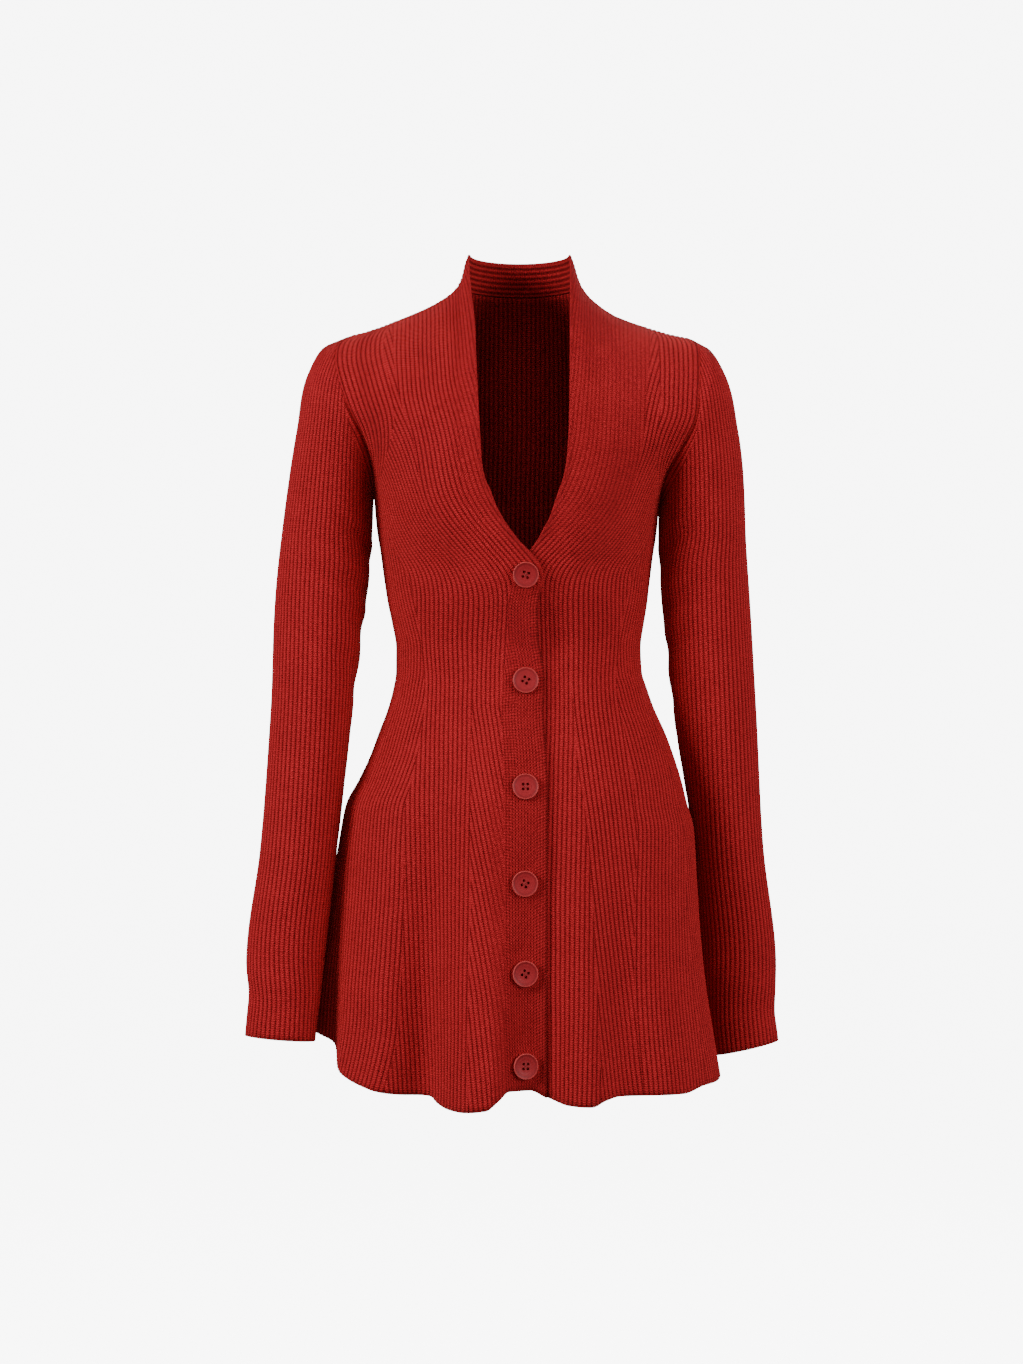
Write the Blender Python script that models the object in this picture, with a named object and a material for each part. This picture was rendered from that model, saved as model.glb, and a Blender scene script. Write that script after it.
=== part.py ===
"""Ribbed knit mini dress, worn, with a buttoned V front and long sleeves.

Metres, +Z up, front towards -Y. The tables below are in millimetres. The origin is
midway between the shoulders, where the dress is held up.
"left" in a table is the -X side of the dress and "right" the +X side.
"""

import math
from collections import namedtuple

import bmesh
import bpy
import numpy as np
from mathutils import Matrix, Vector
from mathutils.bvhtree import BVHTree

MM = 0.001

# Knit.
RIB_PITCH = 4.8
RIB_HEIGHT = 0.9
WALL = 1.6
SEAM = 0.15

# Placket.
PLACKET_TOP = -250.0
OVERLAP_GAP = 1.7

# Buttons.
BUTTON_RADIUS = 12.75
BUTTON_THICKNESS = 3.4
BUTTON_DISH = 1.1
BUTTON_RIM = 1.7
BUTTON_SIDES = 14
HOLE_SPACING = 4.6
HOLE_WIDTH = 1.9
BUTTON_CLEARANCE = 0.45

SAMPLES = 161

# Level sections of the body: half widths to each side, depths to front and back.
Section = namedtuple("Section", "z left right front back")
SECTIONS = (
    Section(-780.0, 214.0, 208.0, 131.0, 124.0),
    Section(-700.0, 205.0, 193.0, 127.0, 120.0),
    Section(-660.0, 202.0, 187.0, 124.0, 118.0),
    Section(-470.0, 173.5, 166.5, 112.0, 110.0),
    Section(-360.0, 124.0, 126.5, 92.0, 86.0),
    Section(-318.0, 122.5, 121.0, 86.0, 78.0),
    Section(-255.0, 135.0, 131.0, 101.0, 84.0),
    Section(-165.0, 144.5, 138.5, 111.0, 91.0),
)

# Hem height round the body. turn: 0 is the front, 90 the right side, 180 the back.
Hem = namedtuple("Hem", "turn z")
HEM = (
    Hem(-90, -695),
    Hem(-78, -702),
    Hem(-69, -710),
    Hem(-61, -731),
    Hem(-48, -747),
    Hem(-35, -753),
    Hem(-25, -753),
    Hem(-21, -763),
    Hem(-16, -769),
    Hem(-9, -767),
    Hem(-3, -748),
    Hem(3, -748),
    Hem(8, -755),
    Hem(14, -762),
    Hem(20, -762),
    Hem(28, -753),
    Hem(40, -756),
    Hem(52, -756),
    Hem(64, -750),
    Hem(76, -748),
    Hem(88, -743),
    Hem(112, -738),
    Hem(138, -747),
    Hem(160, -740),
    Hem(180, -747),
    Hem(202, -740),
    Hem(226, -740),
    Hem(240, -719),
    Hem(250, -710),
    Hem(262, -698),
    Hem(270, -695),
)

# Troughs between the skirt's folds, as deep as given at the hem.
Trough = namedtuple("Trough", "turn half_width depth top")
TROUGHS = (
    Trough(-69, 13, 15, -520),
    Trough(-31, 16, 22, -440),
    Trough(3.5, 16, 19, -480),
    Trough(33, 15, 10, -430),
    Trough(99, 15, 12, -460),
    Trough(129, 17, 14, -430),
    Trough(161, 17, 16, -450),
    Trough(197, 16, 15, -430),
    Trough(229, 17, 14, -460),
    Trough(257, 12, 9, -500),
)

# Rows of the body below the arms. Two more of the front's shape the V.
BODY_ROWS = (-660.0, -470.0, -360.0, -318.0, -255.0, -165.0)
FRONT_ROWS = (-660.0, -470.0, -360.0, -318.0, -255.0, -228.0, -198.0, -165.0)
UPPER_LEVELS = (0.25, 0.5, 0.75, 1.0)

# The front edges below the arms' level: x of the edge that lies on top and of the one under.
FrontEdge = namedtuple("FrontEdge", "z over under")
FRONT_EDGES = (
    FrontEdge(-780.0, 26.5, -20.0),
    FrontEdge(-360.0, 25.5, -20.0),
    FrontEdge(-318.0, 21.0, -20.0),
    FrontEdge(-280.0, 18.0, -20.0),
    FrontEdge(-255.0, 22.5, -19.0),
    FrontEdge(-244.0, 23.0, -14.0),
    FrontEdge(-228.0, 15.0, 2.0),
    FrontEdge(-210.0, -1.0, 18.0),
    FrontEdge(-198.0, -9.0, 24.5),
    FrontEdge(-165.0, -27.0, 38.0),
)

# The neckline edges above that, up to the peaks beside the neck.
NeckEdge = namedtuple("NeckEdge", "z over under y")
NECK_EDGES = (
    NeckEdge(-115.0, -38.0, 47.0, -105.0),
    NeckEdge(-70.0, -40.5, 48.5, -95.0),
    NeckEdge(-30.0, -42.5, 49.0, -80.0),
    NeckEdge(5.0, -44.0, 49.5, -59.0),
    NeckEdge(35.0, -47.5, 50.0, -34.0),
    NeckEdge(60.0, -49.5, 50.5, -11.0),
    NeckEdge(76.0, -50.5, 50.5, 5.0),
)

# Lines at which ribs are added or end, as x on the top front. The under front mirrors them.
RibLines = namedtuple("RibLines", "level band inner outer side band_pitch")
LOW_LINES = (
    RibLines(-780.0, 28.0, 60.0, 122.0, 183.0, 4.8),
    RibLines(-660.0, 29.0, 58.0, 116.0, 170.0, 4.8),
    RibLines(-470.0, 30.0, 50.0, 94.0, 142.0, 4.2),
    RibLines(-360.0, 33.0, 46.0, 79.0, 111.0, 3.4),
    RibLines(-318.0, 33.0, 49.0, 81.0, 108.0, 3.0),
    RibLines(-255.0, 37.0, 65.0, 96.0, 119.0, 2.8),
    RibLines(-228.0, 54.0, 79.0, 104.0, 124.0, 4.8),
    RibLines(-198.0, 78.0, 96.0, 116.0, 131.0, 4.8),
    RibLines(-165.0, 94.0, 108.0, 125.0, 137.5, 4.8),
)
HIGH_LINES = (
    RibLines(0.25, 103.0, 120.0, 137.0, 145.0, 4.8),
    RibLines(0.5, 116.0, 134.0, 152.0, 161.0, 4.8),
    RibLines(0.75, 123.0, 141.0, 160.0, 170.0, 4.8),
    RibLines(1.0, 126.0, 140.0, 154.0, 163.0, 4.8),
)
PLACKET_LINE = 16.0
PLACKET_COLUMNS = 6
BACK_GORES = 10
INNER_RIBS = 3
BACK_INNER_RIBS = 2
RIM_RIBS = 2

# The shoulder line, from the peak beside the neck to the tip of the shoulder.
Shoulder = namedtuple("Shoulder", "left left_z right right_z")
SHOULDER_Y = 5.0
SHOULDERS = (
    Shoulder(50.5, 76.0, 50.5, 76.0),
    Shoulder(53.5, 68.0, 53.5, 68.0),
    Shoulder(58.5, 50.0, 59.0, 50.0),
    Shoulder(61.5, 44.0, 61.5, 44.0),
    Shoulder(66.5, 38.0, 65.5, 38.0),
    Shoulder(74.5, 32.0, 70.5, 32.0),
    Shoulder(96.5, 20.0, 85.5, 20.0),
    Shoulder(125.5, 8.0, 110.5, 8.0),
    Shoulder(152.0, -2.0, 148.5, -4.0),
    Shoulder(170.5, -6.0, 172.5, -9.0),
)
NECK_POINT = 3

# Armhole edges from the underarm up to the shoulder tip.
Armhole = namedtuple("Armhole", "left left_z right right_z y")
FRONT_ARMHOLE = (
    Armhole(144.5, -165.0, 138.5, -165.0, 0.0),
    Armhole(144.7, -148.0, 141.0, -155.0, -25.0),
    Armhole(148.0, -129.0, 149.0, -139.0, -44.0),
    Armhole(156.0, -106.0, 160.0, -120.0, -57.0),
    Armhole(167.0, -84.0, 173.0, -96.0, -64.0),
    Armhole(176.0, -60.0, 177.0, -66.0, -60.0),
    Armhole(182.5, -34.0, 178.5, -35.0, -42.0),
    Armhole(181.0, -17.0, 178.0, -18.0, -22.0),
    Armhole(170.5, -6.0, 172.5, -9.0, 5.0),
)
BACK_ARMHOLE = (
    Armhole(144.5, -165.0, 138.5, -165.0, 0.0),
    Armhole(145.0, -147.0, 140.5, -150.0, 27.0),
    Armhole(149.0, -122.0, 147.0, -125.0, 50.0),
    Armhole(157.0, -92.0, 157.0, -94.0, 62.0),
    Armhole(165.0, -60.0, 165.0, -62.0, 62.0),
    Armhole(171.0, -32.0, 171.0, -34.0, 46.0),
    Armhole(173.0, -14.0, 174.0, -16.0, 26.0),
    Armhole(170.5, -6.0, 172.5, -9.0, 5.0),
)
CENTRE_BACK = ((-115.0, 97.0), (-60.0, 98.0), (-10.0, 91.0), (22.0, 78.0))

# Sleeve rings: outer and inner (body side) points, depths to front and back of the middle.
# lean carries the front and back of a ring outwards.
Ring = namedtuple("Ring", "outer outer_z inner inner_z middle front back lean")
LEFT_SLEEVE = (
    Ring(196.5, -20.5, 146.0, -170.0, 0.0, 65.0, 66.0, 8.0),
    Ring(210.5, -46.0, 146.5, -177.0, 0.0, 61.0, 62.0, 6.0),
    Ring(221.5, -100.0, 147.3, -192.0, 0.0, 56.0, 57.0, 3.0),
    Ring(239.0, -222.0, 149.5, -232.0, -2.0, 47.0, 49.0, 0.0),
    Ring(247.5, -385.0, 167.3, -385.0, -14.0, 40.0, 41.0, 0.0),
    Ring(257.0, -520.0, 182.0, -520.0, -30.0, 36.0, 36.0, 0.0),
    Ring(270.5, -633.0, 194.0, -633.0, -42.0, 32.0, 32.0, 0.0),
    Ring(270.5, -701.0, 202.5, -706.5, -48.0, 29.0, 29.0, 0.0),
)
RIGHT_SLEEVE = (
    Ring(188.8, -22.0, 139.3, -171.0, 0.0, 65.0, 66.0, 14.0),
    Ring(203.5, -46.0, 139.3, -178.0, 0.0, 61.0, 62.0, 10.0),
    Ring(217.3, -102.0, 139.3, -192.0, 0.0, 56.0, 57.0, 5.0),
    Ring(226.5, -222.0, 140.5, -236.0, 2.0, 47.0, 49.0, 0.0),
    Ring(237.0, -385.0, 155.5, -385.0, 12.0, 40.0, 41.0, 0.0),
    Ring(245.0, -520.0, 174.0, -520.0, 27.0, 36.0, 36.0, 0.0),
    Ring(258.5, -640.0, 184.5, -640.0, 40.0, 32.0, 32.0, 0.0),
    Ring(261.0, -714.0, 195.0, -729.0, 44.0, 29.0, 29.0, 0.0),
)
SLEEVE_INNER_GAP = 0.35
SLEEVE_GORES = 8

# The collar's stand, from the neck seam round the back to the top edge.
COLLAR_DEPTH_LOW = 62.0
COLLAR_DEPTH_TOP = 53.0
COLLAR_DIP_LOW = 6.0
COLLAR_DIP_TOP = 4.0
COLLAR_RIBS = 7
COLLAR_COLUMNS = 14

# Buttons down the top front. turn is how far each is turned on its thread.
Button = namedtuple("Button", "x z turn")
BUTTONS = (
    Button(5.8, -246.8, -15.0),
    Button(5.7, -351.0, -29.0),
    Button(5.5, -454.5, 1.0),
    Button(4.8, -548.0, -28.0),
    Button(4.1, -635.6, -33.0),
    Button(3.1, -725.5, -2.0),
)


def material(name, colour, roughness):
    """A plain Principled material of one colour."""
    made = bpy.data.materials.new(name)
    made.use_nodes = True
    shader = made.node_tree.nodes["Principled BSDF"]
    shader.inputs["Base Color"].default_value = (*colour, 1.0)
    shader.inputs["Roughness"].default_value = roughness
    shader.inputs["Metallic"].default_value = 0.0
    return made


def smooth(value):
    """0 to 1 with level ends."""
    value = np.clip(value, 0.0, 1.0)
    return value * value * (3.0 - 2.0 * value)


def column(table, field):
    return np.array([getattr(row, field) for row in table], float)


def along(table, key, field, value):
    """A table's column read at a value of its key column."""
    keys = column(table, key)
    order = np.argsort(keys)
    return np.interp(value, keys[order], column(table, field)[order])


def unit(vectors):
    length = np.linalg.norm(vectors, axis=-1, keepdims=True)
    return vectors / np.maximum(length, 1e-9)


def resample(points, count=SAMPLES):
    """The same line with its points evenly spaced."""
    steps = np.linalg.norm(np.diff(points, axis=0), axis=1)
    run = np.concatenate([[0.0], np.cumsum(steps)])
    even = np.linspace(0.0, run[-1], count)
    return np.stack([np.interp(even, run, points[:, axis]) for axis in range(3)], axis=1)


def line_length(points):
    return float(np.linalg.norm(np.diff(points, axis=0), axis=1).sum())


def body_line(turns, heights):
    """Points of the body at these turns in degrees and heights."""
    angle = np.radians(turns)
    east = np.sin(angle)
    south = np.cos(angle)
    wide = np.where(
        east < 0.0,
        along(SECTIONS, "z", "left", heights),
        along(SECTIONS, "z", "right", heights),
    )
    deep = np.where(
        south > 0.0,
        along(SECTIONS, "z", "front", heights),
        along(SECTIONS, "z", "back", heights),
    )
    away = unit(np.stack([east / wide, -south / deep], axis=1))
    sink = np.zeros(len(turns))
    for trough in TROUGHS:
        gap = np.abs((turns - trough.turn + 180.0) % 360.0 - 180.0)
        across = smooth(1.0 - gap / trough.half_width)
        down = smooth((trough.top - heights) / (trough.top + 800.0))
        sink += trough.depth * across * down
    plan = np.stack([wide * east, -deep * south], axis=1) - away * sink[:, None]
    return np.column_stack([plan, heights])


def level_line(start, end, height):
    """The body's line at one height, or along the hem where height is None."""
    turns = np.linspace(start, end, 721)
    if height is None:
        heights = along(HEM, "turn", "z", (turns + 90.0) % 360.0 - 90.0)
    else:
        heights = np.full(len(turns), height)
    return body_line(turns, heights)


def cut_at_x(line, x):
    """The stretch of a front line from this x on."""
    sign = 1.0 if line[-1, 0] > line[0, 0] else -1.0
    run = sign * line[:, 0]
    keep = run > sign * x
    first = np.array([np.interp(sign * x, run, line[:, axis]) for axis in range(3)])
    return np.vstack([first, line[keep]])


def patch(bottom, top, start, end, levels):
    """Rows of the surface between four edges. start and end run upwards."""
    across = np.linspace(0.0, 1.0, SAMPLES)[:, None]
    low = resample(bottom)
    high = resample(top)
    rise_start = resample(start)
    rise_end = resample(end)
    rows = []
    for level in levels:
        index = level * (SAMPLES - 1)
        at = np.arange(SAMPLES)
        left = np.array([np.interp(index, at, rise_start[:, axis]) for axis in range(3)])
        right = np.array([np.interp(index, at, rise_end[:, axis]) for axis in range(3)])
        ruled = (1.0 - level) * low + level * high
        sides = (1.0 - across) * left + across * right
        corners_low = (1.0 - across) * low[0] + across * low[-1]
        corners_high = (1.0 - across) * high[0] + across * high[-1]
        rows.append(ruled + sides - (1.0 - level) * corners_low - level * corners_high)
    return rows


def shoulder_line(side, first=0, last=None):
    """The shoulder line of one side, from the neck outwards."""
    sign = -1.0 if side == "left" else 1.0
    x = sign * column(SHOULDERS, side)
    z = column(SHOULDERS, side + "_z")
    line = np.column_stack([x, np.full(len(x), SHOULDER_Y), z])
    return line[first:last]


def armhole_line(table, side):
    sign = -1.0 if side == "left" else 1.0
    x = sign * column(table, side)
    return np.column_stack([x, column(table, "y"), column(table, side + "_z")])


def armhole_centre(side):
    both = np.vstack([armhole_line(FRONT_ARMHOLE, side), armhole_line(BACK_ARMHOLE, side)])
    return both.mean(axis=0)


def neck_arc(half_width, depth, height, dip, count=41):
    """The line round the back of the neck, from the left to the right."""
    angle = np.linspace(math.pi, 0.0, count)
    x = half_width * np.cos(angle)
    y = SHOULDER_Y + depth * np.sin(angle)
    z = height - dip * np.sin(angle)
    return np.column_stack([x, y, z])


class Wall:
    """A panel of knit: rows of points with outward directions, from the hem or cuff up."""

    def __init__(self, rows, turned):
        self.rows = np.array([resample(row) for row in rows])
        step_across = np.gradient(self.rows, axis=1)
        step_up = np.gradient(self.rows, axis=0)
        normals = np.cross(step_across, step_up)
        if turned:
            normals = -normals
        self.normals = unit(normals)
        self.heights = np.ones(self.rows.shape[:2])

    def length(self, row):
        return line_length(self.rows[row])

    def place(self, row, share, rib, wall):
        """A point of the row, moved out by a share of the rib or in by the wall."""
        index = share * (SAMPLES - 1)
        at = np.arange(SAMPLES)
        point = np.array([np.interp(index, at, self.rows[row][:, a]) for a in range(3)])
        away = np.array([np.interp(index, at, self.normals[row][:, a]) for a in range(3)])
        raised = rib * RIB_HEIGHT * np.interp(index, at, self.heights[row])
        away = unit(away)
        return point + away * (raised - wall)

    def share_of_x(self, row, x):
        """Where the row passes this x, as a share of its length."""
        run = self.rows[row][:, 0]
        sign = 1.0 if run[-1] > run[0] else -1.0
        return float(np.interp(sign * x, sign * run, np.linspace(0.0, 1.0, SAMPLES)))


def strip(mesh, first, second):
    """Faces between two lines of (key, vertex), in key order. Equal keys face each other."""
    i = 0
    j = 0
    while i < len(first) - 1 or j < len(second) - 1:
        here = first[i][1]
        there = second[j][1]
        key_i = first[i + 1][0] if i < len(first) - 1 else None
        key_j = second[j + 1][0] if j < len(second) - 1 else None
        if key_i is not None and key_i == key_j:
            mesh.faces.new((here, first[i + 1][1], second[j + 1][1]))
            mesh.faces.new((here, second[j + 1][1], there))
            i += 1
            j += 1
        elif key_j is None or (key_i is not None and key_i < key_j):
            mesh.faces.new((here, first[i + 1][1], there))
            i += 1
        else:
            mesh.faces.new((here, second[j + 1][1], there))
            j += 1


def rim(mesh, outer, inner):
    """Closes the edge between two lines of (key, vertex, share), each to the nearest of the other."""
    outer_line = [(share, vertex) for _, vertex, share in outer]
    inner_line = [(inner[0][2], inner[0][1])]
    for before, after in zip(inner[:-1], inner[1:]):
        inner_line.append(((before[2] + after[2]) / 2.0 + 1e-6, after[1]))
    strip(mesh, outer_line, inner_line)


def columns_of(wall, row, lines, plain_first, band_pitch, inner_ribs):
    """(outer, inner) columns of a row as (key, share, rib). lines are shares between gores."""
    length = wall.length(row)
    outer = []
    inner = []
    for gore, (start, end) in enumerate(zip(lines[:-1], lines[1:])):
        width = (end - start) * length
        if width < 0.5:
            continue
        if gore == 0 and plain_first:
            for step in range(PLACKET_COLUMNS):
                share = start + (end - start) * step / PLACKET_COLUMNS
                outer.append(((gore, step), share, 0.0))
                inner.append(((gore, step), share, 0.0))
            continue
        pitch = band_pitch if gore == 1 and plain_first else RIB_PITCH
        ribs = max(1, round(width / pitch))
        for step in range(2 * ribs):
            share = start + (end - start) * step / (2.0 * ribs)
            outer.append(((gore, step), share, float(step % 2)))
            if step % (2 * inner_ribs) == 0:
                inner.append(((gore, step), share, 0.0))
    inner.append(((len(lines), 0), 1.0, 0.0))
    outer.append(((len(lines), 0), 1.0, 0.0))
    return outer, inner


def panel(
    name,
    wall,
    lines_of_rows,
    band_pitches,
    look,
    edge_move,
    plain_first=False,
    tube=False,
    ribs_inside=INNER_RIBS,
):
    """The solid of a panel: ribs outside, plain inside, with its edges closed. A tube has two."""
    mesh = bmesh.new()
    outer_rows = []
    inner_rows = []
    for row, lines in enumerate(lines_of_rows):
        at_rim = row in (0, len(lines_of_rows) - 1)
        inner_ribs = RIM_RIBS if at_rim else ribs_inside
        outer, inner = columns_of(wall, row, lines, plain_first, band_pitches[row], inner_ribs)
        outer_line = []
        for key, share, rib in outer:
            point = wall.place(row, share, rib, 0.0) + edge_move(row, share)
            outer_line.append((key, mesh.verts.new(point * MM), share))
        inner_line = []
        for key, share, rib in inner:
            point = wall.place(row, share, rib, WALL) + edge_move(row, share)
            if tube and row == len(lines_of_rows) - 1:
                point[0] += math.copysign(SLEEVE_INNER_GAP, point[0])
            inner_line.append((key, mesh.verts.new(point * MM), share))
        if tube:
            for line in (outer_line, inner_line):
                mesh.verts.remove(line[-1][1])
                line[-1] = (line[-1][0], line[0][1], 1.0)
        outer_rows.append(outer_line)
        inner_rows.append(inner_line)
    for low, high in zip(outer_rows[:-1], outer_rows[1:]):
        strip(mesh, low, high)
    for low, high in zip(inner_rows[:-1], inner_rows[1:]):
        strip(mesh, high, low)
    for end in (0, -1):
        rim(mesh, outer_rows[end], inner_rows[end])
    for end in () if tube else (0, -1):
        outer_side = [(row, line[end][1]) for row, line in enumerate(outer_rows)]
        inner_side = [(row, line[end][1]) for row, line in enumerate(inner_rows)]
        strip(mesh, outer_side, inner_side)
    return finish(name, mesh, look)


def finish(name, mesh, look):
    """The mesh as an object with outward faces."""
    bmesh.ops.recalc_face_normals(mesh, faces=mesh.faces)
    if mesh.calc_volume(signed=True) < 0.0:
        bmesh.ops.reverse_faces(mesh, faces=mesh.faces)
    data = bpy.data.meshes.new(name)
    mesh.to_mesh(data)
    mesh.free()
    data.materials.append(look)
    made = bpy.data.objects.new(name, data)
    bpy.context.scene.collection.objects.link(made)
    return made


def front_rows(side):
    """Rows of a front, from the hem to the shoulder."""
    edge_field = "over" if side == "left" else "under"
    far = -90.0 if side == "left" else 90.0
    near = 25.0 if side == "left" else -25.0
    rows = []
    for height in (None,) + FRONT_ROWS:
        line = level_line(near, far, height)
        at = -750.0 if height is None else height
        rows.append(cut_at_x(line, along(FRONT_EDGES, "z", edge_field, at)))
    bottom = rows[-1]
    neck = np.column_stack(
        [column(NECK_EDGES, edge_field), column(NECK_EDGES, "y"), column(NECK_EDGES, "z")]
    )
    start = np.vstack([bottom[0], neck])
    end = armhole_line(FRONT_ARMHOLE, side)
    rows += patch(bottom, shoulder_line(side), start, end, UPPER_LEVELS)
    return rows


def back_rows():
    """Rows of the back, from the left side to the right, hem to shoulder."""
    rows = [level_line(270.0, 90.0, height) for height in (None,) + BODY_ROWS]
    middle_line = rows[-1][np.argmin(np.abs(rows[-1][:, 0]))]
    centre = np.array([(0.0, y, z) for z, y in CENTRE_BACK])
    arc = neck_arc(61.5, COLLAR_DEPTH_LOW, 44.0, COLLAR_DIP_LOW)
    centre = np.vstack([middle_line, centre, arc[20]])
    bottom = rows[-1]
    split = int(np.argmin(np.abs(bottom[:, 0])))
    left_top = np.vstack([shoulder_line("left", NECK_POINT)[::-1], arc[1:21]])
    right_top = np.vstack([arc[20:-1], shoulder_line("right", NECK_POINT)])
    left_edge = armhole_line(BACK_ARMHOLE, "left")
    right_edge = armhole_line(BACK_ARMHOLE, "right")
    left_half = patch(bottom[: split + 1], left_top, left_edge, centre, UPPER_LEVELS)
    right_half = patch(bottom[split:], right_top, centre, right_edge, UPPER_LEVELS)
    for left_row, right_row in zip(left_half, right_half):
        rows.append(np.vstack([left_row[:-1], right_row]))
    return rows


def seam_direction(line):
    """Directions square to a shoulder line in its plane, pointing up and away."""
    step = unit(np.gradient(line, axis=0))
    square = np.cross(step, np.array([0.0, 1.0, 0.0]))
    square = np.where(square[:, 2:] < 0.0, -square, square)
    return unit(square)


def aim_armhole(wall, first_row, column_index, side):
    """Turns the wall's directions at the armhole away from the armhole's centre."""
    centre = armhole_centre(side)
    for row in range(first_row, len(wall.rows)):
        wall.normals[row][column_index] = unit(wall.rows[row][column_index] - centre)


def aim_front_top(wall):
    """The shoulder seam's directions, blended out below it."""
    wall.normals[-1] = seam_direction(wall.rows[-1])


def aim_back_top(wall):
    """The shoulder seams' directions, and level ones round the neck."""
    top = wall.rows[-1]
    up = seam_direction(top)
    level = top * np.array([1.0, 1.0, 0.0]) - np.array([0.0, SHOULDER_Y - 12.0, 0.0])
    round_neck = smooth((top[:, 1] - SHOULDER_Y) / 2.0)[:, None]
    wall.normals[-1] = unit(up * (1.0 - round_neck) + unit(level) * round_neck)
    beside = np.abs(np.abs(top[:, 0]) - 60.0) < 5.0
    wall.heights[-1][beside] = 0.0


def fade_edges(wall, first_row, end, width):
    """Lowers the ribs to nothing at one end of the rows from this one up."""
    for row in range(first_row, len(wall.rows)):
        share = np.linspace(0.0, 1.0, SAMPLES)
        gap = share if end == "start" else 1.0 - share
        wall.heights[row] = np.minimum(wall.heights[row], smooth(gap * wall.length(row) / width))


def seam_side(table, side, level):
    """Direction from the body to the sleeve at a level of the armhole."""
    line = resample(armhole_line(table, side))
    step = unit(np.gradient(line, axis=0))
    inward = unit(armhole_centre(side) - line)
    across = unit(np.cross(step, inward))
    sign = -1.0 if side == "left" else 1.0
    across = np.where(across[:, :1] * sign < 0.0, -across, across)
    index = level * (SAMPLES - 1)
    return unit(np.array([np.interp(index, np.arange(SAMPLES), across[:, a]) for a in range(3)]))


def lines_at(table, field, value):
    return along(table, "level", field, value)


def front_lines(wall, side):
    """The gores of a front's rows, as shares of each row."""
    sign = -1.0 if side == "left" else 1.0
    found = []
    levels = (-750.0,) + FRONT_ROWS
    for row, level in enumerate(levels):
        shares = [0.0]
        placket_x = -PLACKET_LINE if side == "left" else 20.0
        shares.append(wall.share_of_x(row, placket_x) if level < PLACKET_TOP else 0.0)
        for field in ("band", "inner", "outer", "side"):
            shares.append(wall.share_of_x(row, sign * lines_at(LOW_LINES, field, level)))
        found.append(shares + [1.0])
    for index, level in enumerate(UPPER_LEVELS):
        row = len(levels) + index
        shares = [0.0, 0.0]
        for field in ("band", "inner", "outer", "side"):
            shares.append(wall.share_of_x(row, sign * lines_at(HIGH_LINES, field, level)))
        found.append(shares + [1.0])
    return found


def make_front(name, side, look):
    """One front with its placket. The right one sinks under the left one's placket."""
    rows = front_rows(side)
    wall = Wall(rows, turned=side == "left")
    low_count = 1 + len(FRONT_ROWS)
    if side == "right":
        for row in range(len(wall.rows)):
            line = wall.rows[row]
            below = smooth((-190.0 - line[:, 2]) / 22.0)
            near = smooth((46.0 - line[:, 0]) / 16.0)
            sink = (WALL + OVERLAP_GAP) * below * near
            wall.rows[row] = line - wall.normals[row] * sink[:, None]
    aim_armhole(wall, low_count, -1, side)
    aim_front_top(wall)
    fade_edges(wall, low_count - 1, "end", 7.0)
    lines = front_lines(wall, side)
    levels = (-750.0,) + FRONT_ROWS
    pitches = [lines_at(LOW_LINES, "band_pitch", level) for level in levels]
    pitches += [RIB_PITCH] * len(UPPER_LEVELS)

    def edge_move(row, share):
        move = np.zeros(3)
        if share > 0.999 and row < low_count:
            move[1] -= SEAM
        if share > 0.999 and row >= low_count - 1:
            level = 0.0 if row < low_count else UPPER_LEVELS[row - low_count]
            move -= SEAM * seam_side(FRONT_ARMHOLE, side, level)
        if row == len(wall.rows) - 1:
            move[1] -= SEAM
        return move

    return panel(name, wall, lines, pitches, look, edge_move, plain_first=True), wall


def make_back(look):
    """The back, in one piece."""
    wall = Wall(back_rows(), turned=True)
    low_count = 1 + len(BODY_ROWS)
    aim_armhole(wall, low_count, 0, "left")
    aim_armhole(wall, low_count, -1, "right")
    aim_back_top(wall)
    fade_edges(wall, low_count - 1, "start", 7.0)
    fade_edges(wall, low_count - 1, "end", 7.0)
    shares = list(np.linspace(0.0, 1.0, BACK_GORES + 1))
    lines = [shares] * len(wall.rows)
    pitches = [RIB_PITCH] * len(wall.rows)

    def edge_move(row, share):
        move = np.zeros(3)
        at_end = share < 0.001 or share > 0.999
        side = "left" if share < 0.5 else "right"
        if at_end and row < low_count:
            move[1] += SEAM
        if at_end and row >= low_count - 1:
            level = 0.0 if row < low_count else UPPER_LEVELS[row - low_count]
            move -= SEAM * seam_side(BACK_ARMHOLE, side, level)
        if row == len(wall.rows) - 1:
            top = wall.rows[-1]
            y = np.interp(share, np.linspace(0.0, 1.0, SAMPLES), top[:, 1])
            if y > SHOULDER_Y + 0.3:
                move[2] -= SEAM
            else:
                move[1] += SEAM
        return move

    made = panel("back", wall, lines, pitches, look, edge_move, ribs_inside=BACK_INNER_RIBS)
    return made, wall


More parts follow.
